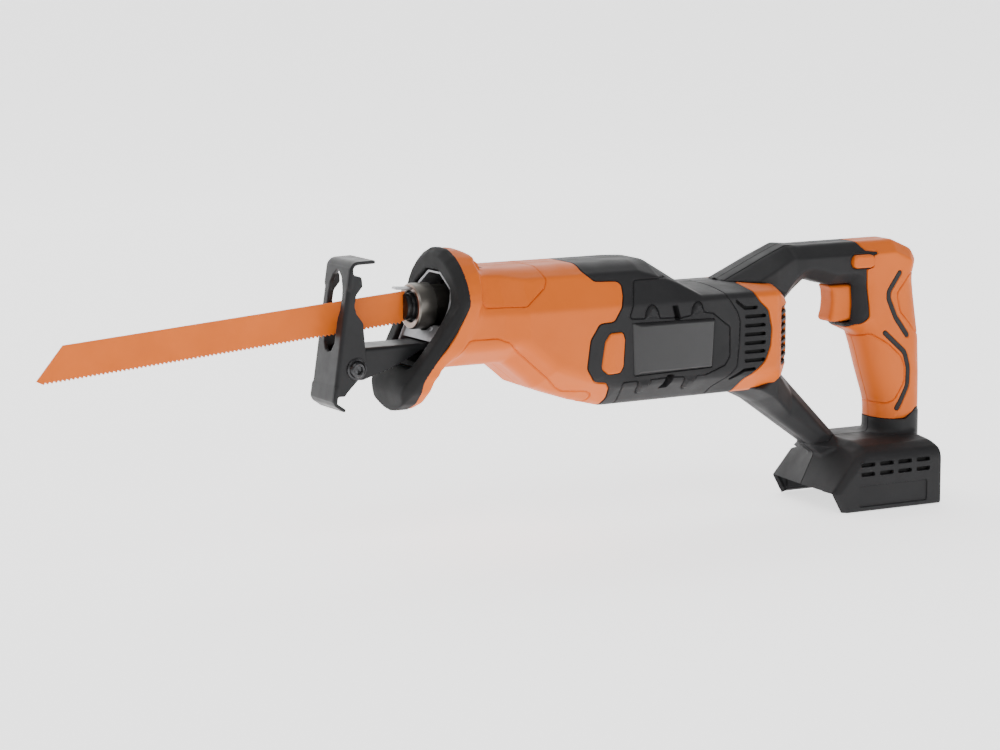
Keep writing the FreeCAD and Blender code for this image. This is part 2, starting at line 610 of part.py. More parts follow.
def blade_clamp():
    length = "Dims.clamp_length"
    core = rod("clamp_core", "X", (1.5, 0.0, 0.0), "Dims.clamp_radius", "%s - 1.5" % length)
    slot = block("clamp_slot", (0.0, -0.8, -8.4), (20.0, 0.8, 8.4))
    relief = ring("spring_relief", "X", (14.5, 0.0, 0.0), 11.0, 8.8, 8.0)
    pin_hole = rod("clamp_pin_hole", "Y", (12.0, -12.0, 0.0), 1.72, 24.0)
    sub_part(cut("clamp_body", core, [slot, relief, pin_hole]), "blade_clamp_body")
    sub_part(rod("clamp_cross_pin", "Y", (12.0, -9.7, 0.0), 1.7, 19.4), "blade_clamp_pin")
    barrel = ring("barrel_tube", "X", (0.0, 0.0, 0.0), "Dims.barrel_radius",
                  "Dims.clamp_radius + Dims.running_gap", length)
    sub_part(barrel, "clamp_collar")
    lever = fuse("lever_piece", [block("lever_tab", (-10.5, -2.6, 11.4), (-0.0, 2.6, 12.8)),
                                 block("lever_root", (-3.0, -3.2, 10.6), (0.0, 3.2, 12.8))])
    sub_part(lever, "clamp_lever")


def plunger():
    start = dim("clamp_length")
    shaft = rod("plunger_rod", "X", (start, 0.0, 0.0), "Dims.plunger_radius", "Dims.plunger_length")
    sub_part(shaft, "plunger_shaft")
    front = start + dim("plunger_length")
    back = front + 20.0
    plate = block("yoke_plate", (front, -26.0, -14.0), (back, 26.0, -4.0))
    hub = block("yoke_hub", (front, -8.0, -4.0), (back, 8.0, 8.0))
    tail = rod("yoke_tail", "X", (back, 0.0, 0.0), "Dims.guide_radius", "Dims.guide_length")
    slot = block("yoke_slot", (CRANK_X - 6.1, -20.0, -15.0), (CRANK_X + 6.1, 20.0, -7.0))
    sub_part(cut("yoke", fuse("yoke_piece", [plate, hub, tail]), slot), "scotch_yoke")


# ---------------------------------------------------------------- gear case and gears

def gear_case():
    upper_side = [(40.0, 16.5), (140.0, 16.5), (140.0, -12.0), (66.0, -12.0), (66.0, -17.0),
                  (40.0, -17.0)]
    upper_section = mirrored([(20.5, 16.5), (29.5, 2.0), (30.5, -17.0)])
    block_piece = common("upper_outer", [slab("upper_side", upper_side, 31.0),
                                         prism("upper_section", "YZ", upper_section, 110.0, 35.0)])
    chamber_section = mirrored([(17.0, 13.0), (26.4, -2.0), (27.6, -18.0)])
    chamber = prism("yoke_chamber", "YZ", chamber_section, 57.5, 66.0)
    front_bore = rod("front_bore", "X", (39.0, 0.0, 0.0), 12.0, 29.0)
    rear_bore = rod("rear_bore", "X", (123.0, 0.0, 0.0), 10.0, 18.0)
    sub_part(cut("upper_case", block_piece, [chamber, front_bore, rear_bore]), "gear_case_upper")

    lower_side = [(66.0, -12.0), (130.0, -12.0), (130.0, -53.4), (87.0, -53.4), (82.0, -34.0),
                  (66.0, -34.0)]
    lower_section = mirrored([(31.0, -12.0), (31.0, -32.0), (21.0, -53.4)])
    tub = common("lower_outer", [slab("lower_side", lower_side, 31.5),
                                 prism("lower_section", "YZ", lower_section, 90.0, 60.0)])
    inside = [(69.0, -11.0), (127.0, -11.0), (127.0, -50.6), (90.0, -50.6), (85.0, -31.0),
              (69.0, -31.0)]
    inner_section = mirrored([(28.8, -11.0), (28.8, -31.5), (19.0, -50.6)])
    hollow = common("lower_hollow", [slab("lower_inside", inside, 31.0),
                                     prism("lower_inner_section", "YZ", inner_section, 90.0, 60.0)])
    post = rod("bearing_post", "Z", (CRANK_X, 0.0, -54.0), 15.0, 25.0)
    seat_top = rod("upper_seat", "Z", (CRANK_X, 0.0, -36.0), 12.0, 8.0)
    seat_low = rod("lower_seat", "Z", (CRANK_X, 0.0, -52.0), 10.0, 8.0)
    bore = rod("shaft_bore", "Z", (CRANK_X, 0.0, -52.0), 7.5, 20.0)
    motor_hole = rod("motor_hole", "X", (126.0, 0.0, MOTOR_Z), 9.0, 6.0)
    post_trim = common("post_piece", [post, tub])
    body = fuse("lower_piece", [cut("lower_tub", tub, hollow), post_trim])
    sub_part(cut("lower_case", body, [seat_top, seat_low, bore, motor_hole]), "gear_case_lower")

    plate = ring("mount_ring", "X", (130.0, 0.0, MOTOR_Z), 19.4, 11.0, 12.0)
    sub_part(plate, "motor_mount_plate")


def bearing(label, axis, start, outer, inner, width):
    """A sealed ball bearing: rings and shields in one, with a groove between them on each face."""
    body = ring(label + "_rings", axis, start, outer, inner, width)
    groove_depth = 0.6
    middle = (outer + inner) / 2.0
    faces = []
    for i, offset in enumerate((-groove_depth, width - groove_depth)):
        place = list(start)
        place["XYZ".index(axis)] += offset
        faces.append(ring("%s_groove_%d" % (label, i), axis, tuple(place), middle + 0.6,
                          middle - 0.6, 2 * groove_depth))
    sub_part(cut(label + "_body", body, faces), label)


def bearings_and_bushes():
    gap, seat = dim("running_gap"), dim("seat_gap")
    sub_part(ring("front_bush_ring", "X", (46.0, 0.0, 0.0), 12.0 - seat,
                  "Dims.plunger_radius + Dims.running_gap", 20.0), "plunger_front_bush")
    sub_part(ring("seal_ring", "X", (40.5, 0.0, 0.0), 12.0 - seat, "Dims.plunger_radius + 0.3", 5.0),
             "plunger_seal")
    sub_part(ring("rear_bush_ring", "X", (124.0, 0.0, 0.0), 10.0 - seat,
                  "Dims.guide_radius + Dims.running_gap", 13.0), "plunger_rear_bush")
    crank = dim("crank_shaft_radius") + gap
    motor = dim("motor_shaft_radius") + gap
    bearing("crank_upper_bearing", "Z", (CRANK_X, 0.0, -36.0), 12.0 - seat, crank, 6.0)
    bearing("crank_lower_bearing", "Z", (CRANK_X, 0.0, -52.0), 10.0 - seat, crank, 6.0)
    bearing("motor_front_bearing", "X", (133.0, 0.0, MOTOR_Z), 11.0 - seat, motor, 7.0)
    bearing("motor_rear_bearing", "X", (228.0, 0.0, MOTOR_Z), 8.0, motor, 5.0)


def crank():
    """Face gear with its teeth downwards, its shaft, and the pin that drives the yoke."""
    module = dim("gear_module")
    gear_top = dim("gear_top_z")
    pitch_z = MOTOR_Z + module * dim("pinion_teeth") / 2.0
    root_z = pitch_z + 1.2
    tip_z = pitch_z - 0.9
    body = doc.addObject("PartDesign::Body", "gear_body")
    disc_sketch = body.newObject("Sketcher::SketchObject", "gear_disc_outline")
    disc_sketch.AttachmentSupport = [(origin_plane(body, "XY"), "")]
    disc_sketch.MapMode = "FlatFace"
    disc_sketch.AttachmentOffset = Placement(Vector(0, 0, root_z), Rotation())
    for radius, alias in ((dim("gear_radius"), "Dims.gear_radius"),
                          (dim("crank_shaft_radius"), "Dims.crank_shaft_radius + Dims.seat_gap")):
        index = disc_sketch.addGeometry(Part.Circle(Vector(), Vector(0, 0, 1), radius), False)
        disc_sketch.addConstraint(Sketcher.Constraint("Coincident", index, 3, -1, 1))
        constraint = disc_sketch.addConstraint(Sketcher.Constraint("Radius", index, radius))
        disc_sketch.setExpression("Constraints[%d]" % constraint, alias)
    disc = body.newObject("PartDesign::Pad", "gear_disc")
    disc.Profile = disc_sketch
    size(disc, "Length", gear_top - root_z)
    tooth_sketch = body.newObject("Sketcher::SketchObject", "gear_tooth_outline")
    tooth_sketch.AttachmentSupport = [(origin_plane(body, "YZ"), "")]
    tooth_sketch.MapMode = "FlatFace"
    tooth_sketch.AttachmentOffset = Placement(Vector(0, 0, 24.2), Rotation())
    root_half, tip_half, bite = 0.86, 0.34, 0.5
    draw(tooth_sketch, [(-tip_half, tip_z), (tip_half, tip_z), (root_half, root_z),
                        (root_half, root_z + bite), (-root_half, root_z + bite),
                        (-root_half, root_z)])
    tooth = body.newObject("PartDesign::Pad", "gear_tooth")
    tooth.Profile = tooth_sketch
    size(tooth, "Length", "Dims.pinion_width")
    doc.recompute()
    pattern = body.newObject("PartDesign::PolarPattern", "gear_teeth")
    pattern.Originals = [tooth]
    pattern.Axis = (disc_sketch, ["N_Axis"])
    pattern.Angle = 360.0
    pattern.setExpression("Occurrences", "Dims.gear_teeth")
    body.Tip = pattern
    for hidden in (disc_sketch, tooth_sketch):
        hidden.Visibility = False
    half_tooth = 180.0 / dim("gear_teeth")
    body.Placement = Placement(Vector(), Rotation(Vector(0, 0, 1), half_tooth))
    sub_part(body, "crank_gear", x="Dims.crank_x")
    shaft = rod("crank_shaft_rod", "Z", (CRANK_X, 0.0, -52.0), "Dims.crank_shaft_radius",
                52.0 + gear_top)
    sub_part(shaft, "crank_shaft")
    pin = rod("crank_pin_rod", "Z", (CRANK_X, -dim("crank_radius"), gear_top),
              "Dims.crank_pin_radius", 3.5)
    sub_part(pin, "crank_pin")


# ---------------------------------------------------------------- motor

def pinion_outline():
    """Ten straight-sided teeth, the first one pointing up."""
    module, teeth = dim("gear_module"), dim("pinion_teeth")
    pitch_radius = module * teeth / 2.0
    tip_radius, root_radius = pitch_radius + 1.0, pitch_radius - 1.5
    step = 360.0 / teeth
    root_angle = math.degrees(1.0 / root_radius)
    pitch_angle = math.degrees(0.66 / pitch_radius)
    tip_angle = math.degrees(0.30 / tip_radius)
    outline = []
    for i in range(teeth):
        centre = 90.0 + i * step
        for radius, angle in ((root_radius, -root_angle), (pitch_radius, -pitch_angle),
                              (tip_radius, -tip_angle), (tip_radius, tip_angle),
                              (pitch_radius, pitch_angle), (root_radius, root_angle)):
            outline.append(polar(radius, centre + angle))
    return outline


def rotor():
    axis_point = (118.0, 0.0, MOTOR_Z)
    sub_part(rod("motor_shaft_rod", "X", axis_point, "Dims.motor_shaft_radius",
                 "Dims.motor_shaft_length"), "motor_shaft")
    bore = "Dims.motor_shaft_radius + Dims.seat_gap"
    gear = prism("pinion_teeth_body", "YZ", pinion_outline(), "Dims.pinion_width", "Dims.pinion_x")
    gear.Placement = Placement(Vector(0, 0, MOTOR_Z), Rotation())
    sub_part(cut("pinion", gear, rod("pinion_bore", "X", (115.0, 0.0, MOTOR_Z), bore, 20.0)),
             "motor_pinion")
    sub_part(ring("rotor_ring", "X", (dim("stator_x") - 1.5, 0.0, MOTOR_Z), "Dims.rotor_radius", bore,
                  "Dims.rotor_length"), "rotor_core")
    fan_x = dim("fan_x")
    disc = rod("fan_disc", "X", (fan_x, 0.0, MOTOR_Z), "Dims.fan_radius", 1.6)
    hub = rod("fan_hub", "X", (fan_x, 0.0, MOTOR_Z), 8.0, 9.5)
    vanes = []
    count = dim("fan_blades")
    for i in range(count):
        vane = doc.addObject("Part::Box", "fan_vane_%d" % i)
        vane.Length, vane.Width, vane.Height = 8.5, 1.4, dim("fan_radius") - 9.0
        spin = Rotation(Vector(1, 0, 0), 360.0 * i / count)
        vane.Placement = Placement(Vector(fan_x + 1.0, 0.0, MOTOR_Z) + spin.multVec(Vector(0, -0.7, 7.5)),
                                   spin)
        vanes.append(vane)
    fan = fuse("fan_piece", [disc, hub] + vanes)
    sub_part(cut("fan", fan, rod("fan_bore", "X", (fan_x - 1.0, 0.0, MOTOR_Z), bore, 12.0)), "cooling_fan")


def stator():
    start = dim("stator_x")
    length = dim("stator_length")
    yoke = ring("stator_yoke", "X", (start, 0.0, MOTOR_Z), "Dims.stator_radius", 27.5, length)
    teeth, coils = [], []
    count = dim("stator_teeth")
    for i in range(count):
        spin = Rotation(Vector(1, 0, 0), 360.0 * i / count)

        def limb(name, x, long, half, low, high):
            piece = doc.addObject("Part::Box", name)
            piece.Length, piece.Width, piece.Height = long, 2 * half, high - low
            piece.Placement = Placement(
                Vector(x, 0.0, MOTOR_Z) + spin.multVec(Vector(0, -half, low)), spin)
            return piece

        teeth.append(limb("stator_limb_%d" % i, start, length, 3.0, 17.6, 28.5))
        wrap = limb("coil_wrap_%d" % i, start - 3.0, length + 6.0, 6.0, 19.5, 26.0)
        core = limb("coil_core_%d" % i, start - 0.05, length + 0.1, 3.05, 19.0, 27.0)
        coils.append(cut("coil_%d" % i, wrap, core))
    sub_part(fuse("stator_iron", [yoke] + teeth), "stator_core")
    sub_part(fuse("stator_coils", coils), "stator_windings")


def housing_screws():
    """Identical screws, one in each boss: a pan head and a plain shank."""
    screws = []
    for i, (x, z) in enumerate(SCREWS):
        head = rod("screw_head_%d" % i, "Y", (x, -SCREW_SEAT - 2.4, z), "Dims.screw_head_radius", 2.4)
        shank = rod("screw_shank_%d" % i, "Y", (x, -SCREW_SEAT, z), "Dims.screw_radius",
                    SCREW_SEAT + SCREW_GRIP)
        recess = rod("screw_recess_%d" % i, "Y", (x, -SCREW_SEAT - 3.0, z), 1.3, 2.0)
        screws.append(cut("screw_%d" % i, fuse("screw_piece_%d" % i, [head, shank]), recess))
    sub_part(fuse("screw_set", screws), "housing_screws")


# ---------------------------------------------------------------- springs

def springs():
    wire = dim("spring_wire_radius")
    coil_spring("trigger_spring", "X", (309.1, 0.0, -17.0), 9.8, 3.5, wire, 4)
    coil_spring("clamp_spring", "X", (14.8, 0.0, 0.0), 7.4, 9.8, wire, 4)
    coil_spring("shoe_button_spring", "Y", (113.5, -33.95, -30.5), 2.9, 3.4, wire, 2)


# ---------------------------------------------------------------- build and write

nose_covers()
rubber_collar()
front_plate()
main_housing()
rear_end_cap()
handle()
lower_arm()
battery_foot()
foot_contents()
trigger()
lock_button()
shoe_button()
label_panels()
shoe()
shoe_arm()
shoe_guide()
blade()
blade_clamp()
plunger()
gear_case()
bearings_and_bushes()
crank()
rotor()
stator()
housing_screws()
springs()
doc.recompute()


def check(objects):
    faults = [o.Name for o in objects if any(word in o.State for word in ("Invalid", "Error"))]
    for part in NODES:
        if part.Shape.isNull() or not part.Shape.isValid() or not part.Shape.Solids:
            faults.append(part.Label)
    if faults:
        raise RuntimeError("failed: " + ", ".join(faults))


check(doc.Objects)
os.makedirs("parts", exist_ok=True)
for part in NODES:
    part.Shape.exportStep("parts/%s.step" % part.Label)
    box = part.Shape.BoundBox
    print("%-24s solids %2d volume %9.1f  x %7.1f %7.1f  y %6.1f %6.1f  z %6.1f %6.1f" % (
        part.Label, len(part.Shape.Solids), part.Shape.Volume, box.XMin, box.XMax, box.YMin,
        box.YMax, box.ZMin, box.ZMax))
print(len(NODES), "sub-parts")
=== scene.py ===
import functools
import json
import math

import bpy
import numpy as np
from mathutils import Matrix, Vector


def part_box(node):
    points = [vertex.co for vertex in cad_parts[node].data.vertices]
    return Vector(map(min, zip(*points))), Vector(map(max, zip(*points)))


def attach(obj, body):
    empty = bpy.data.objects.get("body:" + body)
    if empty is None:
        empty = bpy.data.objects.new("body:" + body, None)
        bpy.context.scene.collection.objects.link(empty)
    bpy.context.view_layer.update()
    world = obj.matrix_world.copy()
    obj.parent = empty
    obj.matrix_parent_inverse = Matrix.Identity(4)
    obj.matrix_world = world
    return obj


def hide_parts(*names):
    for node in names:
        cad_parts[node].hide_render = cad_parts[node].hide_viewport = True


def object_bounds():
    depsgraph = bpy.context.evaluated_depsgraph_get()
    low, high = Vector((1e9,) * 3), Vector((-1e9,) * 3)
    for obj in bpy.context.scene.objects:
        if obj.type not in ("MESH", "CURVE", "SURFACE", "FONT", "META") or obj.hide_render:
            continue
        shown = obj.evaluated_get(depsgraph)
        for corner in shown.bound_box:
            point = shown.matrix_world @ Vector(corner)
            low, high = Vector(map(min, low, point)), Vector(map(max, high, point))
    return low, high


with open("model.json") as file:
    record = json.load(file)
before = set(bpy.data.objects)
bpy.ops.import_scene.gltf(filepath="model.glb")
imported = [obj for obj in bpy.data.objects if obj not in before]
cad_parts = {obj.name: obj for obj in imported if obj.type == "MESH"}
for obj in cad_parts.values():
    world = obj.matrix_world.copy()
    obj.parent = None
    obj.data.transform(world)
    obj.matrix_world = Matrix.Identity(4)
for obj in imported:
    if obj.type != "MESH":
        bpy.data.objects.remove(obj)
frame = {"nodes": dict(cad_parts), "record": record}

# A cordless reciprocating saw.  Shapes are drawn in millimetres from the middle of the blade
# clamp's front face: x runs back along the plunger, z is up and y < 0 is the left side.
# to_row() carries them to the CAD's frame, in metres.

cad_low, cad_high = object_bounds()
clamp_low, clamp_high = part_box("clamp_collar")
ORIGIN = np.array([clamp_low.x, 0.0, (clamp_low.z + clamp_high.z) / 2.0])
MM = 0.001
FAR = 9.0           # a distance that is out of reach of every line, for places to leave alone
FOOT_RIM = -141.0   # height of the battery foot's lower rim, the lowest point
DIAGONAL = 1.4142
OVAL = 2.15         # exponent of the grip's section: 2 is an ellipse, more is squarer


# ---------------- plane outlines

def closed(points):
    return list(zip(points, points[1:] + points[:1]))


def turning(outline):
    """Twice the area inside an outline, positive where its corners run anticlockwise."""
    return sum(a[0] * b[1] - b[0] * a[1] for a, b in closed(outline))


def nearest(edges, a, b):
    """Distance to the nearest of some straight edges."""
    best = np.full(np.broadcast(a, b).shape, 1e9)
    for (a0, b0), (a1, b1) in edges:
        ea, eb = a1 - a0, b1 - b0
        t = np.clip(((a - a0) * ea + (b - b0) * eb) / (ea * ea + eb * eb), 0.0, 1.0)
        best = np.minimum(best, (a - a0 - t * ea) ** 2 + (b - b0 - t * eb) ** 2)
    return np.sqrt(best)


def signed(outline, a, b):
    """Distance to a closed outline, negative inside."""
    reach = nearest(closed(outline), a, b)
    inside = np.zeros(reach.shape, bool)
    for (a0, b0), (a1, b1) in closed(outline):
        if b1 != b0:
            inside ^= ((b0 > b) != (b1 > b)) & (a < (b - b0) * (a1 - a0) / (b1 - b0) + a0)
    return np.where(inside, -reach, reach)


def beside(line, a, b):
    """Distance to an open line through the given points."""
    return nearest(zip(line, line[1:]), a, b)


def mirrored(half):
    """A closed outline from its right half; points on the middle plane aren't repeated."""
    return half + [(-y, z) for y, z in half[::-1] if y]


def oblong(x_0, x_1, z_0, z_1):
    return [(x_0, z_0), (x_1, z_0), (x_1, z_1), (x_0, z_1)]


def bent(line, radius, steps=5):
    """An open line with its corners replaced by arcs."""
    return rounded(line, radius, steps, is_closed=False)


def rounded(outline, radius, steps=5, is_closed=True):
    """Replace the corners of an outline with arcs; radius is one number or one per corner."""
    count = len(outline)
    radii = radius if isinstance(radius, (list, tuple)) else [radius] * count
    result = []
    for i, point in enumerate(outline):
        if not is_closed and i in (0, count - 1):
            result.append(point)
            continue
        p = np.array(point, float)
        before = np.array(outline[i - 1], float) - p
        after = np.array(outline[(i + 1) % count], float) - p
        length_0, length_1 = np.linalg.norm(before), np.linalg.norm(after)
        before, after = before / length_0, after / length_1
        half = math.acos(max(-1.0, min(1.0, float(before @ after)))) / 2.0
        if radii[i] <= 0 or half > math.radians(88) or half < 1e-3:
            result.append(point)
            continue
        run = min(radii[i] / math.tan(half), 0.48 * length_0, 0.48 * length_1)
        r = run * math.tan(half)
        middle = (before + after) / np.linalg.norm(before + after)
        centre = p + middle * (r / math.sin(half))
        start, end = p + before * run - centre, p + after * run - centre
        for k in range(steps + 1):
            mix = start * (1 - k / steps) + end * (k / steps)
            spot = centre + mix / np.linalg.norm(mix) * r
            result.append((float(spot[0]), float(spot[1])))
    return result


def smax(a, b, k):
    """The larger of two fields, with the edge between them rounded over about k."""
    return np.maximum(a, b) + np.maximum(k - np.abs(a - b), 0.0) ** 2 / (4.0 * k)


def common(*fields):
    """The largest of some fields: the space inside them all."""
    return functools.reduce(np.maximum, fields)


def smin(a, b, k):
    """The smaller of two fields, with the corner between them filled over about k."""
    return -smax(-a, -b, k)


def ramp(x, table):
    """A value that runs straight between the (x, value) pairs of a table."""
    xs, ys = zip(*table)
    return np.interp(x, xs, ys)


def bevelled(side, half, wide, flat, depth):
    """Distance to a bevel from half-width flat at an outline to wide, depth inside it."""
    fall = (wide - flat) / depth
    return (half - wide + (depth + side) * fall) / np.sqrt(1 + fall * fall)


def rounded_bar(side, half, wide, reach, scale):
    """A bar with a side outline, oval over its half-width and over reach in from the outline."""
    inside = np.clip(1 + side / reach, 0.0, None)
    return ((inside ** OVAL + (half / wide) ** OVAL) ** (1 / OVAL) - 1.0) * scale


def within(where, distance):
    """The distance where a test of x, y and z holds, and far away elsewhere."""
    return lambda x, y, z: np.where(where(x, y, z), distance(x, y, z), FAR)


def everywhere(x, y, z):
    return True


def halves(x, y, z):
    """Signed distance to the joint between the left and right mouldings."""
    return y


def off_middle(half):
    """A test for the places further than half from the middle plane."""
    return lambda x, y, z: np.abs(y) > half


# ---------------- skins from fields

def slope(field, p, h=0.04):
    """The field's gradient at points, by central differences."""
    g = np.empty_like(p)
    for axis in range(3):
        d = np.zeros(3)
        d[axis] = h
        g[:, axis] = (field(*(p + d).T) - field(*(p - d).T)) / (2 * h)
    return g


def settle(field, p, rounds=3):
    """Bring points onto the surface where the field is zero."""
    for _ in range(rounds):
        g = slope(field, p)
        p = p - g * (field(*p.T) / np.maximum((g * g).sum(1), 0.05))[:, None]
    return p


def skin(field, low, high, pitch):
    """Vertices and triangles of the surface field = 0 inside a box."""
    axes = [np.arange(a, b + pitch, pitch) for a, b in zip(low, high)]
    grid = [axes[0][:, None, None], axes[1][None, :, None], axes[2][None, None, :]]
    values = field(*grid)
    n = np.array(values.shape)
    cells = n - 1
    total = np.zeros((int(np.prod(cells)), 3))
    hits = np.zeros(len(total))
    faces = []
    for axis in range(3):
        u, v = (axis + 1) % 3, (axis + 2) % 3
        first = [slice(None)] * 3
        second = [slice(None)] * 3
        first[axis], second[axis] = slice(None, -1), slice(1, None)
        a, b = values[tuple(first)], values[tuple(second)]
        edge = np.argwhere((a < 0) != (b < 0))
        a, b = a[tuple(edge.T)], b[tuple(edge.T)]
        spot = edge.astype(float)
        spot[:, axis] += a / (a - b)
        around = []
        for du, dv in ((0, 0), (-1, 0), (-1, -1), (0, -1)):
            cell = edge.copy()
            cell[:, u] += du
            cell[:, v] += dv
            inside = ((cell >= 0) & (cell < cells)).all(1)
            index = np.where(inside, (cell[:, 0] * cells[1] + cell[:, 1]) * cells[2] + cell[:, 2], -1)
            around.append(index)
            for k in range(3):
                total[:, k] += np.bincount(index[inside], spot[inside, k], len(total))
            hits += np.bincount(index[inside], minlength=len(total))
        quad = np.stack(around, 1)
        quad[a > 0] = quad[a > 0][:, ::-1]
        faces.append(quad[(quad >= 0).all(1)])
    quads = np.concatenate(faces)
    used = np.flatnonzero(hits)
    number = np.full(len(total), -1)
    number[used] = np.arange(len(used))
    p = np.array(low) + total[used] / hits[used][:, None] * pitch
    quads = number[quads]
    p = settle(field, p)
    sides = np.concatenate([quads[:, [0, 1]], quads[:, [1, 2]], quads[:, [2, 3]], quads[:, [3, 0]]])
    for _ in range(3):
        near = np.zeros_like(p)
        for k in range(3):
            near[:, k] = np.bincount(sides[:, 0], p[sides[:, 1], k], len(p))
            near[:, k] += np.bincount(sides[:, 1], p[sides[:, 0], k], len(p))
        degree = np.bincount(sides.ravel(), minlength=len(p))
        p = settle(field, 0.4 * p + 0.6 * near / degree[:, None], 2)
    flip = (np.linalg.norm(p[quads[:, 0]] - p[quads[:, 2]], axis=1)
            > np.linalg.norm(p[quads[:, 1]] - p[quads[:, 3]], axis=1))
    quads[flip] = quads[flip][:, [1, 2, 3, 0]]
    return p, np.concatenate([quads[:, [0, 1, 2]], quads[:, [0, 2, 3]]])


class Skin:
    """A surface that is scored and cut along lines drawn in the side view."""

    def __init__(self, field, low, high, pitch):
        self.field = field
        self.p, self.t = skin(field, low, high, pitch)
        self.marks, self.areas = [], []

    def score(self, distance, levels=(0.0,), snap=0.22):
        """Put edges of the mesh where distance(x, y, z) has each of the given levels."""
        for level in levels:
            self._cut(lambda x, y, z: distance(x, y, z) - level, snap)

    def _cut(self, distance, snap):
        value = distance(*self.p.T)
        near = np.flatnonzero(np.abs(value) < snap)
        if len(near):
            p = self.p[near]
            g = slope(distance, p)
            length = (g * g).sum(1)
            ok = length > 0.3
            p[ok] -= g[ok] * (value[near][ok] / length[ok])[:, None]
            self.p[near] = p
            value[near] = 0.0
        sign = np.sign(value).astype(int)
        s = sign[self.t]
        mixed = (s.max(1) > 0) & (s.min(1) < 0)
        made, points, triangles = {}, [], []
        base = len(self.p)

        def between(i, j):
            key = (i, j) if i < j else (j, i)
            if key not in made:
                share = value[i] / (value[i] - value[j])
                made[key] = base + len(points)
                points.append(self.p[i] * (1 - share) + self.p[j] * share)
            return made[key]

        for tri in self.t[mixed].tolist():
            marks = [sign[v] for v in tri]
            k = marks.index(0 if 0 in marks else -sum(marks))
            a, b, c = tri[k], tri[k - 2], tri[k - 1]
            if 0 in marks:
                m = between(b, c)
                triangles += [(a, b, m), (a, m, c)]
            else:
                m, n = between(a, b), between(a, c)
                triangles += [(a, m, n), (m, b, c), (m, c, n)]
        if triangles:
            self.p = np.concatenate([self.p, settle(self.field, np.array(points), 1)])
            self.t = np.concatenate([self.t[~mixed], np.array(triangles)])

    def _crest(self, distance, width):
        """Split the edges that pass over a line at the spot nearest to it."""
        value = distance(*self.p.T)
        near = (value < 3.0)[self.t].any(1)
        t = self.t[near]
        edges = np.unique(np.sort(np.concatenate([t[:, [0, 1]], t[:, [1, 2]], t[:, [2, 0]]])), axis=0)
        start, run = self.p[edges[:, 0]], self.p[edges[:, 1]] - self.p[edges[:, 0]]
        shares = np.linspace(0.1, 0.9, 9)
        tries = np.array([distance(*(start + run * share).T) for share in shares])
        best = tries.argmin(0)
        lowest = tries.min(0)
        passing = (lowest < 0.7 * width) & (value[edges].min(1) > lowest + 0.3 * width)
        edges = edges[passing]
        points = (start + run * shares[best][:, None])[passing]
        if not len(edges):
            return
        made = {(i, j): len(self.p) + k for k, (i, j) in enumerate(edges.tolist())}
        touched = np.zeros(len(self.t), bool)
        triangles = []
        for index in np.flatnonzero(near):
            tri = self.t[index].tolist()
            cuts = [made.get((min(i, j), max(i, j))) for i, j in zip(tri, tri[1:] + tri[:1])]
            if not any(cuts):
                continue
            touched[index] = True
            while not cuts[0] or (cuts[2] and not cuts[1]):
                tri, cuts = tri[1:] + tri[:1], cuts[1:] + cuts[:1]
            (a, b, c), (m, n, o) = tri, cuts
            if n and o:
                triangles += [(a, m, o), (m, b, n), (n, c, o), (m, n, o)]
            elif n:
                triangles += [(m, b, n), (a, m, n), (a, n, c)]
            else:
                triangles += [(a, m, c), (m, b, c)]
        self.p = np.concatenate([self.p, settle(self.field, points, 1)])
        self.t = np.concatenate([self.t[~touched], np.array(triangles)])

    def cut_out(self, outlines, where, snap=0.25):
        """Score round outlines of the side view, for holes."""
        for outline in outlines:
            self.score(within(where, lambda x, y, z: signed(outline, x, z)), snap=snap)

    def groove(self, line, width=0.6, depth=0.9, where=everywhere):
        """Sink a V along a line of the side view."""
        distance = within(where, lambda x, y, z: beside(line, x, z))
        self._crest(distance, width)
        self.score(distance, (width,), snap=0.15)
        self._crest(distance, width)
        self.marks.append((distance, width, depth))

    def seam(self, distance, width=0.55, depth=0.45):
        """Sink a V where a signed distance is zero, for the joint between two mouldings."""
        self.score(distance, (0.0, width, -width))
        self.marks.append((lambda x, y, z: np.abs(distance(x, y, z)), width, depth))

    def panel(self, outline, depth, edge, where):
        """Sink (or raise, if negative) everything inside an outline of the side view."""
        distance = within(where, lambda x, y, z: signed(outline, x, z))
        self.score(distance, (0.0, -edge), snap=0.18)
        self.areas.append((distance, edge, depth))

    def finished(self):
        """Sink the grooves, seams and panels; then p, n and t hold the surface."""
        x, y, z = self.p.T
        self.n = slope(self.field, self.p)
        self.n /= np.linalg.norm(self.n, axis=1)[:, None]
        depth = np.zeros(len(self.p))
        for distance, edge, amount in self.areas:
            depth += amount * np.clip(-distance(x, y, z) / edge, 0.0, 1.0)
        lines = np.zeros(len(self.p))
        for distance, width, amount in self.marks:
            share = np.clip((width - distance(x, y, z)) / width, 0.0, 1.0)
            lines = np.maximum(lines, share * amount)
        self.centres = self.p[self.t].mean(1)
        self.facing = self.n[self.t].mean(1)
        self.p = self.p - self.n * (depth + lines)[:, None]

    def patch(self, test, wall=1.6, inset=0.0):
        """The triangles whose middles pass a test, as a closed shell of a given wall."""
        keep = test(*self.centres.T)
        t = self.t[keep]
        used, t = np.unique(t, return_inverse=True)
        t = t.reshape(-1, 3)
        outer = self.p[used] - self.n[used] * inset
        inner = outer - self.n[used] * wall
        for layer in (outer, inner):
            layer[:, 2] = np.maximum(layer[:, 2], FOOT_RIM)
        return shell(outer, inner, t)


def shell(outer, inner, t):
    """Outer and inner vertices with shared triangles, closed round the open edges."""
    count = len(outer)
    directed = {(i, j) for tri in t.tolist() for i, j in zip(tri, tri[1:] + tri[:1])}
    rim = [(i, j) for i, j in directed if (j, i) not in directed]
    faces = t.tolist() + [[c + count, b + count, a + count] for a, b, c in t.tolist()]
    faces += [[j, i, i + count, j + count] for i, j in sorted(rim)]
    return np.concatenate([outer, inner]), faces


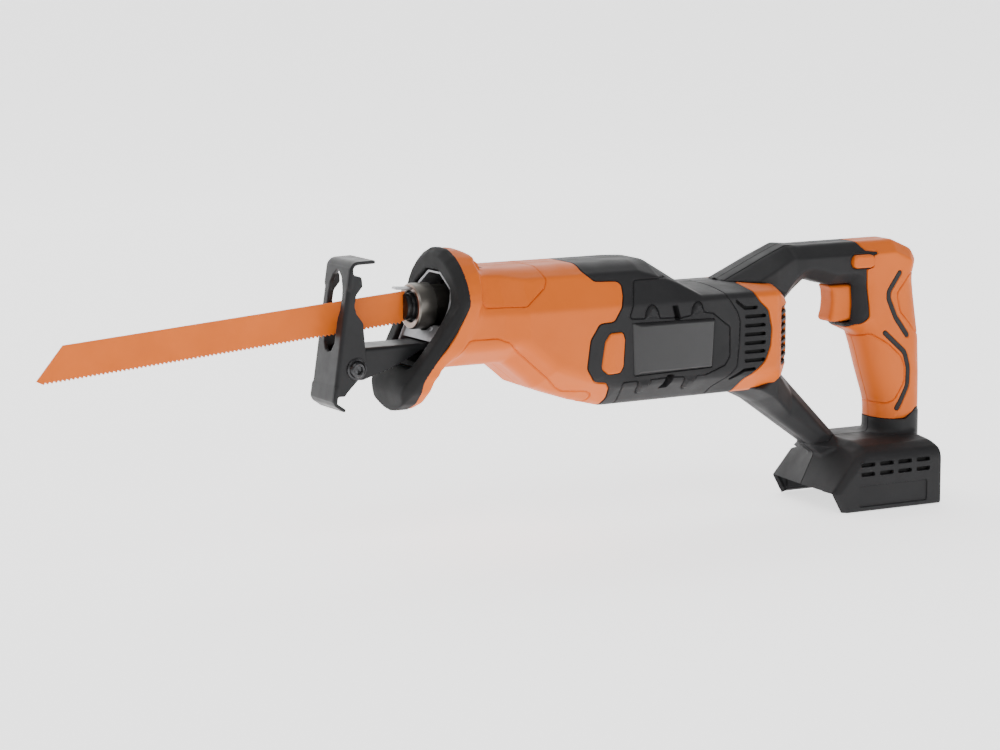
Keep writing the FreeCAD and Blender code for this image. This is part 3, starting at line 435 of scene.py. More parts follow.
def to_row(p):
    """Points in millimetres, carried to the CAD's frame."""
    return np.asarray(p, float) * MM + ORIGIN


def put(name, data):
    """A new object in the scene."""
    thing = bpy.data.objects.new(name, data)
    bpy.context.scene.collection.objects.link(thing)
    return thing


def make(name, points, faces, material, body, slot, replaces=(), bevel=0.0):
    """A named piece that rides on a body, from points in millimetres."""
    mesh = bpy.data.meshes.new(name)
    mesh.from_pydata(to_row(points).tolist(), [], faces)
    mesh.validate()
    mesh.shade_smooth()
    mesh.set_sharp_from_angle(angle=math.radians(35))
    mesh.materials.append(material)
    piece = put(name, mesh)
    if bevel:
        modifier = piece.modifiers.new("edges", "BEVEL")
        modifier.width = bevel * MM
        modifier.segments = 2
        modifier.limit_method = "ANGLE"
        modifier.angle_limit = math.radians(50)
        modifier.harden_normals = False
    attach(piece, body)
    if replaces:
        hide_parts(*replaces)


def mould(name, field, low, high, pitch, *finish):
    """A piece that is the whole surface of a field inside a box."""
    whole = Skin(field, low, high, pitch)
    whole.finished()
    make(name, whole.p, whole.t.tolist(), *finish)


def prism(name, base, top, flipped, *finish, bevel):
    """A solid between two rings of points with the same number of corners."""
    count = len(base)
    faces = [[i, (i + 1) % count, (i + 1) % count + count, i + count] for i in range(count)]
    faces += [list(range(count))[::-1], [i + count for i in range(count)]]
    if flipped:
        faces = [face[::-1] for face in faces]
    make(name, base + top, faces, *finish, bevel=bevel)


# ---------------- materials

def nodes_of(name):
    """A new material, its node tree and its shader."""
    material = bpy.data.materials.new(name)
    material.use_nodes = True
    tree = material.node_tree
    return material, tree, tree.nodes["Principled BSDF"]


def link(tree, source, output, target, socket):
    tree.links.new(source.outputs[output], target.inputs[socket])


def noise(tree, scale, detail=3.0, roughness=0.55, stretch=None):
    coordinates = tree.nodes.new("ShaderNodeTexCoord")
    texture = tree.nodes.new("ShaderNodeTexNoise")
    texture.inputs["Scale"].default_value = scale
    texture.inputs["Detail"].default_value = detail
    texture.inputs["Roughness"].default_value = roughness
    if stretch:
        mapping = tree.nodes.new("ShaderNodeMapping")
        mapping.inputs["Scale"].default_value = stretch
        link(tree, coordinates, "Object", mapping, "Vector")
        link(tree, mapping, "Vector", texture, "Vector")
    else:
        link(tree, coordinates, "Object", texture, "Vector")
    return texture


def spread(tree, texture, low, high):
    """Map a texture to a range of numbers or, from tuples, to a range of colours."""
    band = tree.nodes.new("ShaderNodeValToRGB")
    band.color_ramp.elements[0].position = 0.3
    band.color_ramp.elements[1].position = 0.7
    for element, value in zip(band.color_ramp.elements, (low, high)):
        element.color = (*value, 1.0) if isinstance(value, tuple) else (value, value, value, 1.0)
    link(tree, texture, "Fac", band, "Fac")
    return band


def bumps(tree, shader, layers):
    """Stack bump layers: (noise settings, strength, distance in mm)."""
    last = None
    for settings, strength, distance in layers:
        bump = tree.nodes.new("ShaderNodeBump")
        bump.inputs["Strength"].default_value = strength
        bump.inputs["Distance"].default_value = distance * MM
        link(tree, noise(tree, *settings), "Fac", bump, "Height")
        if last:
            link(tree, last, "Normal", bump, "Normal")
        last = bump
    link(tree, last, "Normal", shader, "Normal")


def varied(name, tones, tone_noise, rough, gloss_noise, layers):
    """A material whose colour and roughness drift over noise, with bump layers."""
    material, tree, shader = nodes_of(name)
    for socket, band, settings in (("Base Color", tones, tone_noise),
                                   ("Roughness", rough, gloss_noise)):
        link(tree, spread(tree, noise(tree, *settings), *band), "Color", shader, socket)
    bumps(tree, shader, layers)
    return material, shader.inputs


def moulded(name, dark, light, rough=(0.42, 0.56), grain=0.5, grain_scale=2600.0, specular=0.45):
    """Spark-textured moulded plastic with slow changes of tone and gloss."""
    material, inputs = varied(name, (dark, light), (22.0, 4.0), rough, (60.0, 5.0),
                              [((grain_scale, 2.0), grain, 0.05), ((420.0, 2.0), 0.18, 0.06)])
    inputs["Specular IOR Level"].default_value = specular
    return material


def steel(name, dark, light, rough, brushed=(1.0, 1.0, 1.0), scale=900.0, grain=0.25,
          metallic=1.0):
    """Metal with fine marks, packed closer along an axis where brushed is larger."""
    marks = (scale, 4.0, 0.6, brushed)
    material, inputs = varied(name, (dark, light), (90.0, 5.0), rough, marks,
                              [(marks, grain, 0.0015)])
    inputs["Metallic"].default_value = metallic
    return material


def coated(name, dark, light, rough, coat, orange_peel=0.2, specular=0.5):
    """Baked paint on sheet steel: slightly uneven gloss over orange peel, specks of dust."""
    material, inputs = varied(name, (dark, light), (45.0, 5.0), rough, (130.0, 6.0),
                              [((700.0, 2.0), orange_peel, 0.05), ((3000.0, 1.0), 0.12, 0.03)])
    inputs["Specular IOR Level"].default_value = specular
    inputs["Coat Weight"].default_value = coat
    inputs["Coat Roughness"].default_value = 0.3
    return material


ORANGE = moulded("orange_plastic", (0.580, 0.112, 0.008), (0.630, 0.126, 0.010), specular=0.22)
BLACK = moulded("black_plastic", (0.016, 0.016, 0.017), (0.021, 0.021, 0.022), (0.46, 0.60),
                specular=0.15)
RUBBER = moulded("black_rubber", (0.014, 0.014, 0.0145), (0.018, 0.018, 0.0185), (0.55, 0.72),
                 0.7, 1900.0, 0.12)
INLAY = moulded("grip_rubber", (0.016, 0.016, 0.0165), (0.021, 0.021, 0.0215), (0.6, 0.75), 0.6,
                2200.0, 0.25)
# Near-black plastic, darker than the black plastic, for sheets set inside openings where there is
# only shade: painted shade.
SHADE_BLACK = moulded("painted_shade_plastic", (0.006, 0.006, 0.006), (0.009, 0.009, 0.009), (0.6, 0.75),
               specular=0.2)
LABEL = moulded("label_plastic", (0.026, 0.026, 0.027), (0.032, 0.032, 0.033), (0.34, 0.44), 0.25,
                specular=0.35)
PAINTED = coated("painted_steel", (0.010, 0.010, 0.011), (0.015, 0.015, 0.016), (0.34, 0.46),
                 0.03, specular=0.2)
DARK_STEEL = steel("dark_steel", (0.03, 0.03, 0.032), (0.07, 0.07, 0.072), (0.22, 0.36))
OXIDE = steel("black_oxide", (0.010, 0.010, 0.011), (0.022, 0.022, 0.023), (0.3, 0.42),
              metallic=0.6)
GUNMETAL = steel("burnished_steel", (0.15, 0.14, 0.125), (0.19, 0.18, 0.165), (0.34, 0.40),
                 scale=600.0, grain=0.1)
TINTED = steel("heat_tinted_steel", (0.20, 0.15, 0.125), (0.28, 0.21, 0.18), (0.26, 0.38))
SATIN = steel("satin_steel", (0.34, 0.34, 0.35), (0.44, 0.44, 0.45), (0.34, 0.46))
CAST = steel("cast_alloy", (0.24, 0.24, 0.25), (0.33, 0.33, 0.34), (0.42, 0.58), scale=500.0,
             grain=0.5, metallic=0.85)
BRIGHT = steel("bright_steel", (0.36, 0.36, 0.37), (0.46, 0.46, 0.47), (0.2, 0.36))
COPPER = steel("copper_wire", (0.45, 0.17, 0.07), (0.62, 0.26, 0.12), (0.25, 0.4))
BRONZE = steel("bronze", (0.33, 0.20, 0.08), (0.44, 0.28, 0.13), (0.3, 0.45))
CORE = steel("electrical_steel", (0.15, 0.15, 0.16), (0.24, 0.24, 0.25), (0.4, 0.55),
             (12.0, 1.0, 1.0), 300.0, 0.3)
BOARD = coated("board_green", (0.006, 0.06, 0.022), (0.01, 0.09, 0.035), (0.3, 0.45), 0.5)
BLADE_PAINT = coated("blade_paint", (0.600, 0.118, 0.008), (0.660, 0.135, 0.011), (0.45, 0.58), 0.02,
                     0.15, 0.2)


# ---------------- body

def scaled(outline, inset_by):
    """Draw an outline in towards its middle by about a distance."""
    middle = np.mean(outline, axis=0)
    result = []
    for point in outline:
        d = np.array(point) - middle
        result.append(tuple(middle + d * (1 - inset_by / np.linalg.norm(d))))
    return result


TRUNK_SIDE = rounded(
    [(22, 20.4), (148, 20.4), (158, 14.4), (166, 8.9), (176.5, 2.5), (236, 2.5), (246, -8),
     (250, -20), (250, -41), (245.5, -54), (238, -62.5), (225, -63.4), (115.6, -64.4),
     (94.6, -59.2), (79, -53.6), (69.7, -50.2), (63.6, -45), (50, -34.2), (1, -34.2)],
    [0, 14, 10, 10, 16, 5, 6, 6, 8, 6, 4, 6, 18, 14, 10, 6, 8, 9, 0])
BELLY_LINE = [(0, -34.2), (50, -34.2), (63.6, -45), (69.7, -50.2), (79, -53.6), (94.6, -59.2),
              (115.6, -64.4), (260, -63.4)]
PLAN = rounded([(-20, -60), (-20, 60), (207, 60), (229, 37.2), (247, 19), (250, 14), (250, -14),
                (247, -19), (229, -37.2), (207, -60)], [0, 0, 0, 5, 3, 3, 3, 3, 5, 0])
COLLAR_FRONT = [(14, 33.5), (14, 2), (-16.4, -45), (-13.4, -60)]
COLLAR_BACK = [(20.6, 33.5), (20.2, 2.5), (11.4, -14.4), (3.1, -25.9), (-5.6, -39.5),
               (-5.4, -49), (-6, -60)]
FLANGE_SIDE = [(16, 32.8), (26.6, 32.7), (31.2, 29.4), (30.2, 18), (28, 4), (12, -24), (2.5, -38),
               (0.4, -48), (-1, -55), (-3, -60), (-8, -60), (-10, -44), (15.5, 2)]
FLANGE_SECTION = [(0, 32.6), (8, 31.9), (16.7, 28.3), (22.4, 24.4), (27.4, 19.6), (31.2, 14.2),
                  (33.9, 8.8), (35.6, 3.5), (34.6, -6), (32.4, -20), (28.6, -37), (24, -46.5),
                  (17, -53.5), (8, -57.8), (0, -58.9)]
FLANGE_SECTION = rounded(mirrored(FLANGE_SECTION), 9)
CREASE_Z = -4.0


def trunk_sides(x, y, z):
    """The trunk's flats to the left and right, and the bevels to its top and belly."""
    half = np.abs(y)
    waist = ramp(x, [(30, 33.0), (44, 33.6), (58, 37.0), (260, 37.0)])
    lean = ramp(x, [(150, 0.476), (176, 0.9)])
    top_z = ramp(x, [(136, 20.4), (148, 17.6), (160, 11.5), (176, 2.5)])
    fall = ramp(x, [(150, 1.9), (176, 4.5)])
    upper = (half - waist + (z - CREASE_Z) * lean) / np.sqrt(1 + lean * lean)
    corner = (half - 17.5 + (z - top_z) * fall) / np.sqrt(1 + fall * fall)
    under = (half - 19.0 - 1.25 * beside(BELLY_LINE, x, z)) / 1.6
    flat = smax(half - waist, upper, 0.7)
    return smax(smax(flat, corner, 1.0), under, 3.0)


def body_field(x, y, z):
    trunk = smax(signed(TRUNK_SIDE, x, z), trunk_sides(x, y, z), 3.0)
    trunk = smax(trunk, signed(PLAN, x, y), 3.0)
    sweep = x + 0.45 * np.abs(y)
    upper_cut = ((sweep - 245.2) * 8.8 + (z + 1.0) * 9.8) / 13.2
    lower_cut = ((sweep - 252.1) * 10.9 - (z + 51.2) * 8.5) / 13.8
    trunk = smax(smax(trunk, upper_cut, 2.0), lower_cut, 2.0)
    screw_boss = smax(np.hypot(x - 33.5, z - 21.2) - 3.7, np.abs(y) - 14.0, 1.0)
    trunk = smin(trunk, screw_boss, 2.0)
    flange = smax(signed(FLANGE_SIDE, x, z), signed(FLANGE_SECTION, y, z), 2.5)
    return smin(trunk, flange, 7.0)


BLACK_EDGE = bent(
    [(101, 30), (99.6, 21.7), (98.6, 16.6), (104.6, 11.1), (119.4, 10.4), (122.2, 8.4),
     (121.5, 1.8), (119, -4.9), (114.3, -12.6), (104.5, -13), (98.3, -22.2), (95.9, -39),
     (101.5, -47.5), (109, -48.2), (112.5, -52), (115.1, -58.7), (114.3, -62), (114, -72)],
    [0, 2, 3, 3, 3, 3, 4, 4, 4, 4, 5, 5, 4, 3, 4, 4, 2, 0])
RING_EDGE = bent(
    [(219, 30), (219, 4.2), (213.6, 3.0), (211.9, 0.7), (212.6, -3.1), (214.9, -6.7),
     (221.5, -12.6), (224, -24), (223.3, -34), (219.8, -42.8), (207.6, -53.7), (206.2, -61.6),
     (206, -72)], [0, 1, 1, 2, 3, 4, 5, 6, 6, 5, 5, 3, 0])
BLACK_AREA = BLACK_EDGE + RING_EDGE[::-1]
LABEL_BASE = [(126.6, -14.2), (182.6, -15.0), (181.2, -44.0), (127.8, -45.4)]
LABEL_TOP = [(131.0, -16.0), (181.9, -16.2), (180.4, -42.9), (132.4, -43.2)]
BUTTON = rounded([(111.2, -18.6), (120.1, -18.4), (121.7, -23), (120.7, -39), (118.2, -42.9),
                  (109.8, -43.4), (105.1, -39.7), (107.6, -23.7)], [3, 2.5, 3, 3, 2.5, 3, 3, 3])
UPPER_GROOVE = bent(
    [(34.5, 26), (31.5, 15.7), (30.2, 3.5), (32.2, 0.3), (56.8, -0.1), (70.9, 9.5), (73, 13.2),
     (72, 19.5), (77, 26)], [0, 8, 3, 2, 3, 4, 3, 4, 0])
LOWER_GROOVE = bent(
    [(8.5, -33), (12, -27.6), (20.5, -17.4), (38.6, -17.4), (45.5, -20), (59.9, -31.9),
     (81.5, -50.1), (86.2, -52.7), (100.2, -53.2), (105, -56), (104, -60.5), (98, -60)],
    [0, 5, 5, 6, 6, 12, 5, 5, 4, 3, 2, 0])
SCREW_DOMES = [
    [(135.2, -12.0), (135.7, -8), (137.4, -5.2), (139.5, -4), (141.8, -5.2), (143.7, -8),
     (144.7, -12.4)],
    [(167.2, -12.0), (167.6, -8), (169.4, -5.2), (171.6, -4), (173.7, -5.6), (175, -9),
     (175.5, -10.6)],
    [(130.7, -48.2), (131.4, -52), (132.8, -55.8), (135.4, -57.2), (137.6, -55), (139.6, -49.6),
     (139, -48.2)],
    [(163, -48.2), (163.6, -52), (164.8, -55.6), (167, -57), (169, -54.6), (170.9, -50),
     (170.6, -48.3)]]
WINDOWS = [[(153.1, -5.3), (157.4, -5.6), (160, -14.2), (155.8, -14.2)],
           [(150.3, -46.0), (155.6, -46.2), (153.5, -54.8), (147.6, -54.8)]]
WINDOWS = [rounded(window, 0.6) for window in WINDOWS]
COVER_LINES = [
    [(154, 10.6), (145.6, 10.2), (130.9, 10.2), (127.4, -2), (124.2, -11.5)] + SCREW_DOMES[0]
    + [(155.0, -12.8)],
    [(159.6, -13.2)] + SCREW_DOMES[1]
    + [(181.9, -11.8), (194, -20.8), (194.2, -38.2), (190.9, -43.4), (177, -48.3)]
    + SCREW_DOMES[3][::-1] + [(154.8, -47.8)],
    [(149.8, -47.8)] + SCREW_DOMES[2][::-1] + [(119.6, -48.6), (121.3, -54), (123.5, -60),
                                               (124.5, -72)]]
COVER_LINES = [bent(line, 1.5, 3) for line in COVER_LINES]
MOTOR_SEAM = bent(
    [(192, 30), (191.5, 3.4), (192.6, -3.2), (199.2, -12), (201.3, -18), (200.8, -31),
     (199.4, -45), (186.8, -57.7), (186, -72)], [0, 3, 3, 5, 5, 10, 5, 5, 0])
VENTS = [oblong(204.5, 219.6, z + 1.15, z - 1.15)
         for z in (-15.6, -21.1, -26.4, -31.6, -36.8, -42.0)]
VENTS += [[(198.3, -4.4), (199.7, -5.8), (204.8, -9.2), (213.5, -9.4), (213.5, -11.6),
           (204.2, -11.4), (197.6, -6.6)],
          [(195.6, -51.9), (204.4, -46.4), (213, -46.2), (213, -48.4), (205.2, -48.6),
           (196.6, -54)]]
VENTS = [rounded(vent, 1.0) for vent in VENTS]
REAR_WINDOW = rounded(oblong(233.8, 262, -12, -47.6), 1.5)
REAR_SLOTS = [rounded(oblong(234.8, 262.0, z + 1.45, z - 1.45), 0.5)
              for z in np.linspace(-14.6, -45.0, 8)]
WINDOW_HALF = 15.5  # the solid post between the two rear windows ends here


on_sides = off_middle(12)


def on_left(x, y, z):
    return y < -12


def past_collar(x, z):
    """Distance along x behind a line just inside the collar's back face."""
    return x + 0.5 - ramp(z, [(z_back, x_back) for x_back, z_back in COLLAR_BACK[::-1]])


body = Skin(body_field, (-22, -39, -66), (252, 39, 35), 1.2)
body.score(lambda x, y, z: np.clip(past_collar(x, z), -3.0, 3.0), snap=0.25)
body.score(lambda x, y, z: z - CREASE_Z)
body.seam(lambda x, y, z: signed(BLACK_AREA, x, z), 0.55, 0.9)
body.groove(UPPER_GROOVE)
body.groove(LOWER_GROOVE)
for line in COVER_LINES:
    body.groove(line, 0.6, 0.9, on_sides)
body.groove(MOTOR_SEAM, 0.55, 0.8)
for dome in SCREW_DOMES:
    body.panel(dome, -1.7, 1.8, on_sides)
for window in WINDOWS:
    body.panel(window, 5.0, 0.35, on_sides)
body.panel(scaled(LABEL_BASE, -0.6), 0.9, 0.4, on_sides)
body.seam(halves, 0.45, 0.3)
body.cut_out([BUTTON], on_left, 0.22)
body.cut_out(VENTS + REAR_SLOTS + [REAR_WINDOW], off_middle(15))
body.score(lambda x, y, z: np.where(x > 240, np.abs(y) - WINDOW_HALF, FAR), snap=0.25)
body.finished()


def in_any(outlines, x, z):
    found = np.zeros(x.shape, bool)
    for outline in outlines:
        found |= signed(outline, x, z) < 0
    return found


def in_window(x, y, z):
    return (signed(REAR_WINDOW, x, z) < 0) & (np.abs(y) > WINDOW_HALF)


def holes(x, y, z):
    return ((in_any(VENTS, x, z) & on_sides(x, y, z)) | in_window(x, y, z)
            | ((signed(BUTTON, x, z) < 0) & on_left(x, y, z)))


def black(x, y, z):
    return signed(BLACK_AREA, x, z) < 0


make("nose_casing", *body.patch(lambda x, y, z: ~black(x, y, z) & (x < 150)
                                & (past_collar(x, z) > 0)),
     ORANGE, "housing", "orange_plastic", ["nose_cover_left", "nose_cover_right"])
make("main_casing", *body.patch(lambda x, y, z: black(x, y, z) & ~holes(x, y, z)), BLACK,
     "housing", "black_plastic", ["main_housing_left", "main_housing_right"])
make("rear_ring", *body.patch(lambda x, y, z: ~black(x, y, z) & (x > 150) & ~holes(x, y, z)),
     ORANGE, "housing", "orange_plastic", ["rear_end_cap"])
make("rear_grille", *body.patch(lambda x, y, z: in_window(x, y, z) & ~in_any(REAR_SLOTS, x, z),
                                1.2, 0.5),
     BLACK, "housing", "black_plastic")
# A near-black sheet set in behind the motor vents: painted shade for the dark inside of the vents.
make("vent_shade_sheet", *body.patch(lambda x, y, z: (x > 194) & (x < 252) & (z > -58) & (z < -1)
                               & (np.abs(y) > 9), 0.5, 2.7),
     SHADE_BLACK, "housing", "black_plastic")

for side, word in ((-1, "left"), (1, "right")):
    prism("label_plate_" + word, [(x, side * 36.0, z) for x, z in LABEL_BASE],
          [(x, side * 38.9, z) for x, z in LABEL_TOP], (turning(LABEL_BASE) > 0) == (side < 0),
          LABEL, "housing", "black_plastic", ["side_panel_" + word], bevel=0.5)


# ---------------- collar

COLLAR_SIDE = rounded(COLLAR_FRONT + COLLAR_BACK[::-1],
                      [0, 7, 12, 0, 0, 6, 8, 8, 8, 7, 0])
OPENING = rounded(mirrored([(7.5, 20.5), (21, 11.5), (22, -2), (21.5, -14), (18, -27),
                            (14.5, -34)]), 3)
LEAN = np.array([-47.0, 28.2]) / np.hypot(47.0, 28.2)


def ahead(x, z):
    """Distance in front of the collar's face, which is upright above and slants below."""
    slant = (x - 14) * LEAN[0] + (z - 2) * LEAN[1]
    return smin(14 - x, slant, 5.0)


def collar_field(x, y, z):
    edge = signed(FLANGE_SECTION, y, z) - 0.38
    bevel = (ahead(x, z) + edge + 3.6) / DIAGONAL
    solid = smax(np.maximum(signed(COLLAR_SIDE, x, z), edge), bevel, 0.9)
    return smax(solid, -signed(OPENING, y, z), 1.2)


mould("collar_rubber", collar_field, (-20, -38, -62), (24, 38, 35), 1.0, RUBBER, "housing",
      "black_rubber", ["rubber_collar"])


def rim_field(x, y, z):
    """The alloy edge of the gear case inside the collar, and the plate under the clamp."""
    mouth, front = signed(OPENING, y, z), ahead(x, z)
    lining = np.maximum(np.abs(mouth + 1.65) - 0.85, front + 1.4)
    lining = smax(smax(lining, x - 30.0, 0.4), -25.0 - z, 0.4)
    plate = common(np.abs(front + 3.6) - 0.9, mouth + 1.2, z + 10.5, -19.3 - z,
                   14.2 - np.hypot(y, z))
    nib = np.maximum(np.hypot(y - 9.0 * np.sign(y), z + 12.5) - 1.5, np.abs(front + 2.6) - 0.8)
    return smin(smin(lining, plate, 1.0), nib, 0.4)


mould("case_rim", rim_field, (-12, -24, -36), (31, 24, 22), 0.62, CAST, "housing", "cast_alloy",
      ["front_plate"])


def tunnel_field(x, y, z):
    """The near-black tunnel round the clamp, with a bulkhead that the plunger and shoe arm pass:
    painted shade for the dark inside of the nose.
    """
    mouth = smax(signed(OPENING, y, z), -31.6 - z, 1.0)
    tube = common(np.abs(mouth + 0.3) - 0.45, ahead(x, z) + 4.0, x - 43.0)
    passage = np.maximum(np.abs(y) - 13.6, np.abs(z + 29.0) - 11.0)
    wall = common(np.abs(x - 42.5) - 0.6, mouth, 15.5 - np.hypot(y, z), -passage)
    lip = common(np.abs(ahead(x, z) + 4.4) - 0.5, signed(OPENING, y, z) - 0.2, z + 31.2)
    return np.minimum(np.minimum(tube, lip), wall)


mould("clamp_shade_tunnel", tunnel_field, (-12, -24, -37), (45, 24, 23), 0.85, SHADE_BLACK, "housing",
      "black_plastic")


# ---------------- shoe

SHOE_TOP, SHOE_LOW = np.array([-45.9, 24.0]), np.array([-56.9, -50.6])
SHOE_DOWN = (SHOE_LOW - SHOE_TOP) / np.linalg.norm(SHOE_LOW - SHOE_TOP)
SHOE_BACK = np.array([-SHOE_DOWN[1], SHOE_DOWN[0]])
SHOE_HALF = 15.0
SHOE_OUTLINE = rounded(
    [(-60, 25.6), (-44.4, 25.6), (-44.0, 22.6), (-42.2, 21.6), (-38.4, 20.6), (-37.9, 15.2),
     (-41.9, 10.6), (-43.0, 4.4), (-41.9, 0), (-37.6, -5.4), (-36.4, -20.6), (-36.2, -28),
     (-39.2, -35.9), (-47.9, -44.4), (-49.4, -46.4), (-54.0, -46.3), (-54.4, -49), (-60, -49)],
    [0, 0, 1, 1, 2, 2, 3, 4, 4, 4, 6, 5, 4, 2, 1, 1.5, 0, 0])
TOP_CURL = bent([(-46.2, 15.0), (-44.2, 28.4), (-30.8, 28.7)], [0, 4.5, 0], 8)
LOW_CURL = bent([(-54.75, -42.0), (-55.95, -50.2), (-50.0, -54.2)], [0, 4, 0], 8)
SLOT = [(0, 24.2), (5, 20.8), (7.6, 16), (8.6, 9), (8.4, 2), (6.4, -3), (6.4, -17), (3.6, -21.4),
        (0, -22.2)]
SLOT = rounded(mirrored(SLOT), 2.0)


def channel(depth, across, thickness, corner):
    """A folded sheet: depth is measured in from its outer face, across from its outer edge."""
    a, b = depth - thickness / 2, across - thickness / 2
    turn = np.abs(corner - np.hypot(corner - a, corner - b))
    flat = np.minimum(np.where(b > corner, np.abs(a), 1e3), np.where(a > corner, np.abs(b), 1e3))
    return np.where((a < corner) & (b < corner), turn, flat) - thickness / 2


def shoe_field(x, y, z):
    depth = (x - SHOE_TOP[0]) * SHOE_BACK[0] + (z - SHOE_TOP[1]) * SHOE_BACK[1]
    folded = channel(depth, SHOE_HALF - np.abs(y), 2.0, 1.2)
    plate = smax(folded, signed(SHOE_OUTLINE, x, z), 0.6)
    curls = np.minimum(beside(TOP_CURL, x, z), beside(LOW_CURL, x, z)) - 1.0
    curls = smax(curls, np.abs(y) - SHOE_HALF, 0.7)
    whole = smin(plate, curls, 1.2)
    return smax(whole, -np.where(x < -43.6, signed(SLOT, y, z), FAR), 0.5)


mould("shoe_plate_formed", shoe_field, (-60, -16, -58), (-28, 16, 31.5), 0.62, PAINTED,
      "shoe_plate", "black_steel", ["shoe"])

ARM_OUTLINE = rounded(
    [(-47.6, -27), (-44, -20), (42, -20), (42, -23.6), (1.3, -23.6), (-17.4, -32.6),
     (-36.7, -38.4), (-44, -38), (-47.6, -34)], [4, 3, 0.5, 0.5, 5, 6, 5, 4, 3])
PIN_X, PIN_Z = -42.2, -31.3


def arm_field(x, y, z):
    depth, across = -20.0 - z, 12.0 - np.abs(y)
    folded = channel(depth, across, 2.3, 1.4)
    bar = smax(np.abs(z + 21.8) - 1.8, -across, 0.4)
    folded = np.minimum(folded, smax(bar, 2.0 - x, 0.4))
    pin = np.hypot(x - PIN_X, z - PIN_Z) - 4.0
    return smax(smax(folded, signed(ARM_OUTLINE, x, z), 0.5), -pin, 0.3)


mould("shoe_arm_formed", arm_field, (-50, -14, -41), (44, 14, -18), 0.75, PAINTED, "shoe_slide",
      "black_steel", ["shoe_arm"])


# ---------------- turned pieces

TURNED_SIDES = 72


def lathe(name, profile, centre, axes, *finish, warp=None):
    """Turn a closed profile of (along, radius) points about the first axis, through centre."""
    along, u, v = [np.array(axis, float) for axis in axes]
    points, faces = [], []
    count, total = len(profile), len(profile) * TURNED_SIDES
    for i in range(TURNED_SIDES):
        angle = 2 * math.pi * i / TURNED_SIDES
        for t, r in profile:
            if warp:
                r = warp(t, r, angle)
            points.append(np.array(centre) + along * t
                          + (u * math.cos(angle) + v * math.sin(angle)) * r)
        for k in range(count):
            a, b = i * count + k, i * count + (k + 1) % count
            faces.append([a, b, (b + count) % total, (a + count) % total])
    if turning(profile) > 0:
        faces = [face[::-1] for face in faces]
    make(name, points, faces, *finish)


ALONG = (1, 0, 0), (0, 1, 0), (0, 0, 1)
ACROSS = (0, 1, 0), (0, 0, 1), (1, 0, 0)
BARREL = rounded([(0.2, 9.3), (-0.5, 12.3), (-0.3, 12.9), (0.3, 13.25), (10.6, 13.25),
                  (11.2, 12.7), (11.4, 11.6), (24.0, 11.6), (24.0, 10.3), (3.2, 10.3), (3.0, 9.3)],
                 0.25, steps=2)
lathe("clamp_barrel", BARREL, (0, 0, 0), ALONG, GUNMETAL, "blade_collar", "bright_steel",
      ["clamp_collar"])
LIP = rounded([(-0.62, 9.5), (-0.95, 11.9), (-0.85, 12.5), (-0.2, 12.9), (-0.2, 9.3)], 0.15,
              steps=2)
lathe("clamp_lip", LIP, (0, 0, 0), ALONG, TINTED, "blade_collar", "bright_steel")
CORE_ROD = rounded([(-5.2, 0.05), (-5.2, 6.9), (-4.4, 7.7), (-2.6, 7.7), (-2.3, 7.2),
                    (-1.6, 7.2), (-1.3, 7.7), (1.2, 7.7), (1.2, 8.9), (4.2, 8.9), (4.2, 9.9),
                    (16.0, 9.9), (16.0, 0.05)], 0.25, steps=2)
lathe("clamp_core", CORE_ROD, (0, 0, 0), ALONG, OXIDE, "plunger", "bright_steel",
      ["blade_clamp_body"])
TAB = [(-10.6, -2.6), (-9.4, -3.4), (-1.0, -3.4), (0.6, -2.6), (0.6, 2.6), (-1.0, 3.4),
       (-9.4, 3.4), (-10.6, 2.6)]


def tab_ring(z):
    """The tab's outline from a height at its tip, sinking slightly to the back."""
    return [(x, y, z - 0.06 * (x + 10.6)) for x, y in TAB]


prism("clamp_tab", tab_ring(10.4), tab_ring(11.8), turning(TAB) < 0, SATIN, "blade_collar",
      "bright_steel", ["clamp_lever"], bevel=0.3)

SOCKET = 2.6
PIN_HEAD = rounded([(-16.2, 0.05), (-16.2, SOCKET), (-18.0, SOCKET), (-18.1, 3.4), (-17.6, 4.4),
                    (-16.4, 4.9), (-16.0, 4.9), (-15.8, 6.0), (-15.0, 6.3), (-15.0, 3.95),
                    (15.0, 3.95), (15.0, 6.4), (15.9, 6.4), (16.6, 5.6), (16.6, 0.05)], 0.2,
                   steps=2)


def hexed(t, r, angle):
    """Six flats inside the socket of the near head."""
    if t < -15.9 and r <= SOCKET + 0.01:
        return r / math.cos((angle % (math.pi / 3)) - math.pi / 6) * 0.9
    return r


lathe("shoe_pin_turned", PIN_HEAD, (PIN_X, 0, PIN_Z), ACROSS, DARK_STEEL, "shoe_slide", "black_steel",
      ["shoe_pivot_pin"], warp=hexed)


# ---------------- handle

HANDLE_SIDE = rounded(
    [(206, 2.2), (236.4, 15.6), (251.9, 21.9), (262, 21.0), (331, 21.2), (345.5, 14.8),
     (349.6, 8.0), (348.3, -1.2), (349.6, -12.3), (354.0, -40.8), (355.0, -63), (355.3, -98),
     (322.4, -98), (322.0, -81), (315.4, -61.5), (310.4, -45.2), (307.4, -36.8), (302, -34.2),
     (297.6, -31.8), (296.0, -29.9), (296.4, -28.5), (300.2, -27.8), (300.6, -18), (300.2, -4.6),
     (284, -4.6), (273, -1.4), (265.8, 0.4), (257.5, -6.0), (248.5, -14.5), (236, -10)],
    [0, 4, 4, 6, 6, 6, 8, 14, 40, 30, 0, 0, 20, 30, 20, 6, 6, 4, 1, 0.6, 1, 4, 1, 2, 6, 4, 5, 4,
     0, 0])


def handle_sides(x, y, z):
    """Faceted where the arm runs forward, round where the hand goes."""
    half = np.abs(y)
    top = signed(HANDLE_SIDE, x, z)
    grip = np.clip((x - 296.0) / 12.0, 0.0, 1.0) * np.clip((8.0 - z) / 14.0, 0.0, 1.0)
    wide = ramp(x, [(206, 24.0), (238, 21.5), (256, 17.0), (360, 17.0)])
    arm = smax(smax(half - wide, bevelled(top, half, wide, 9.0, 7.4), 0.8), top, 1.5)
    return arm * (1 - grip) + rounded_bar(top, half, 16.8, 15.0, 14.0) * grip


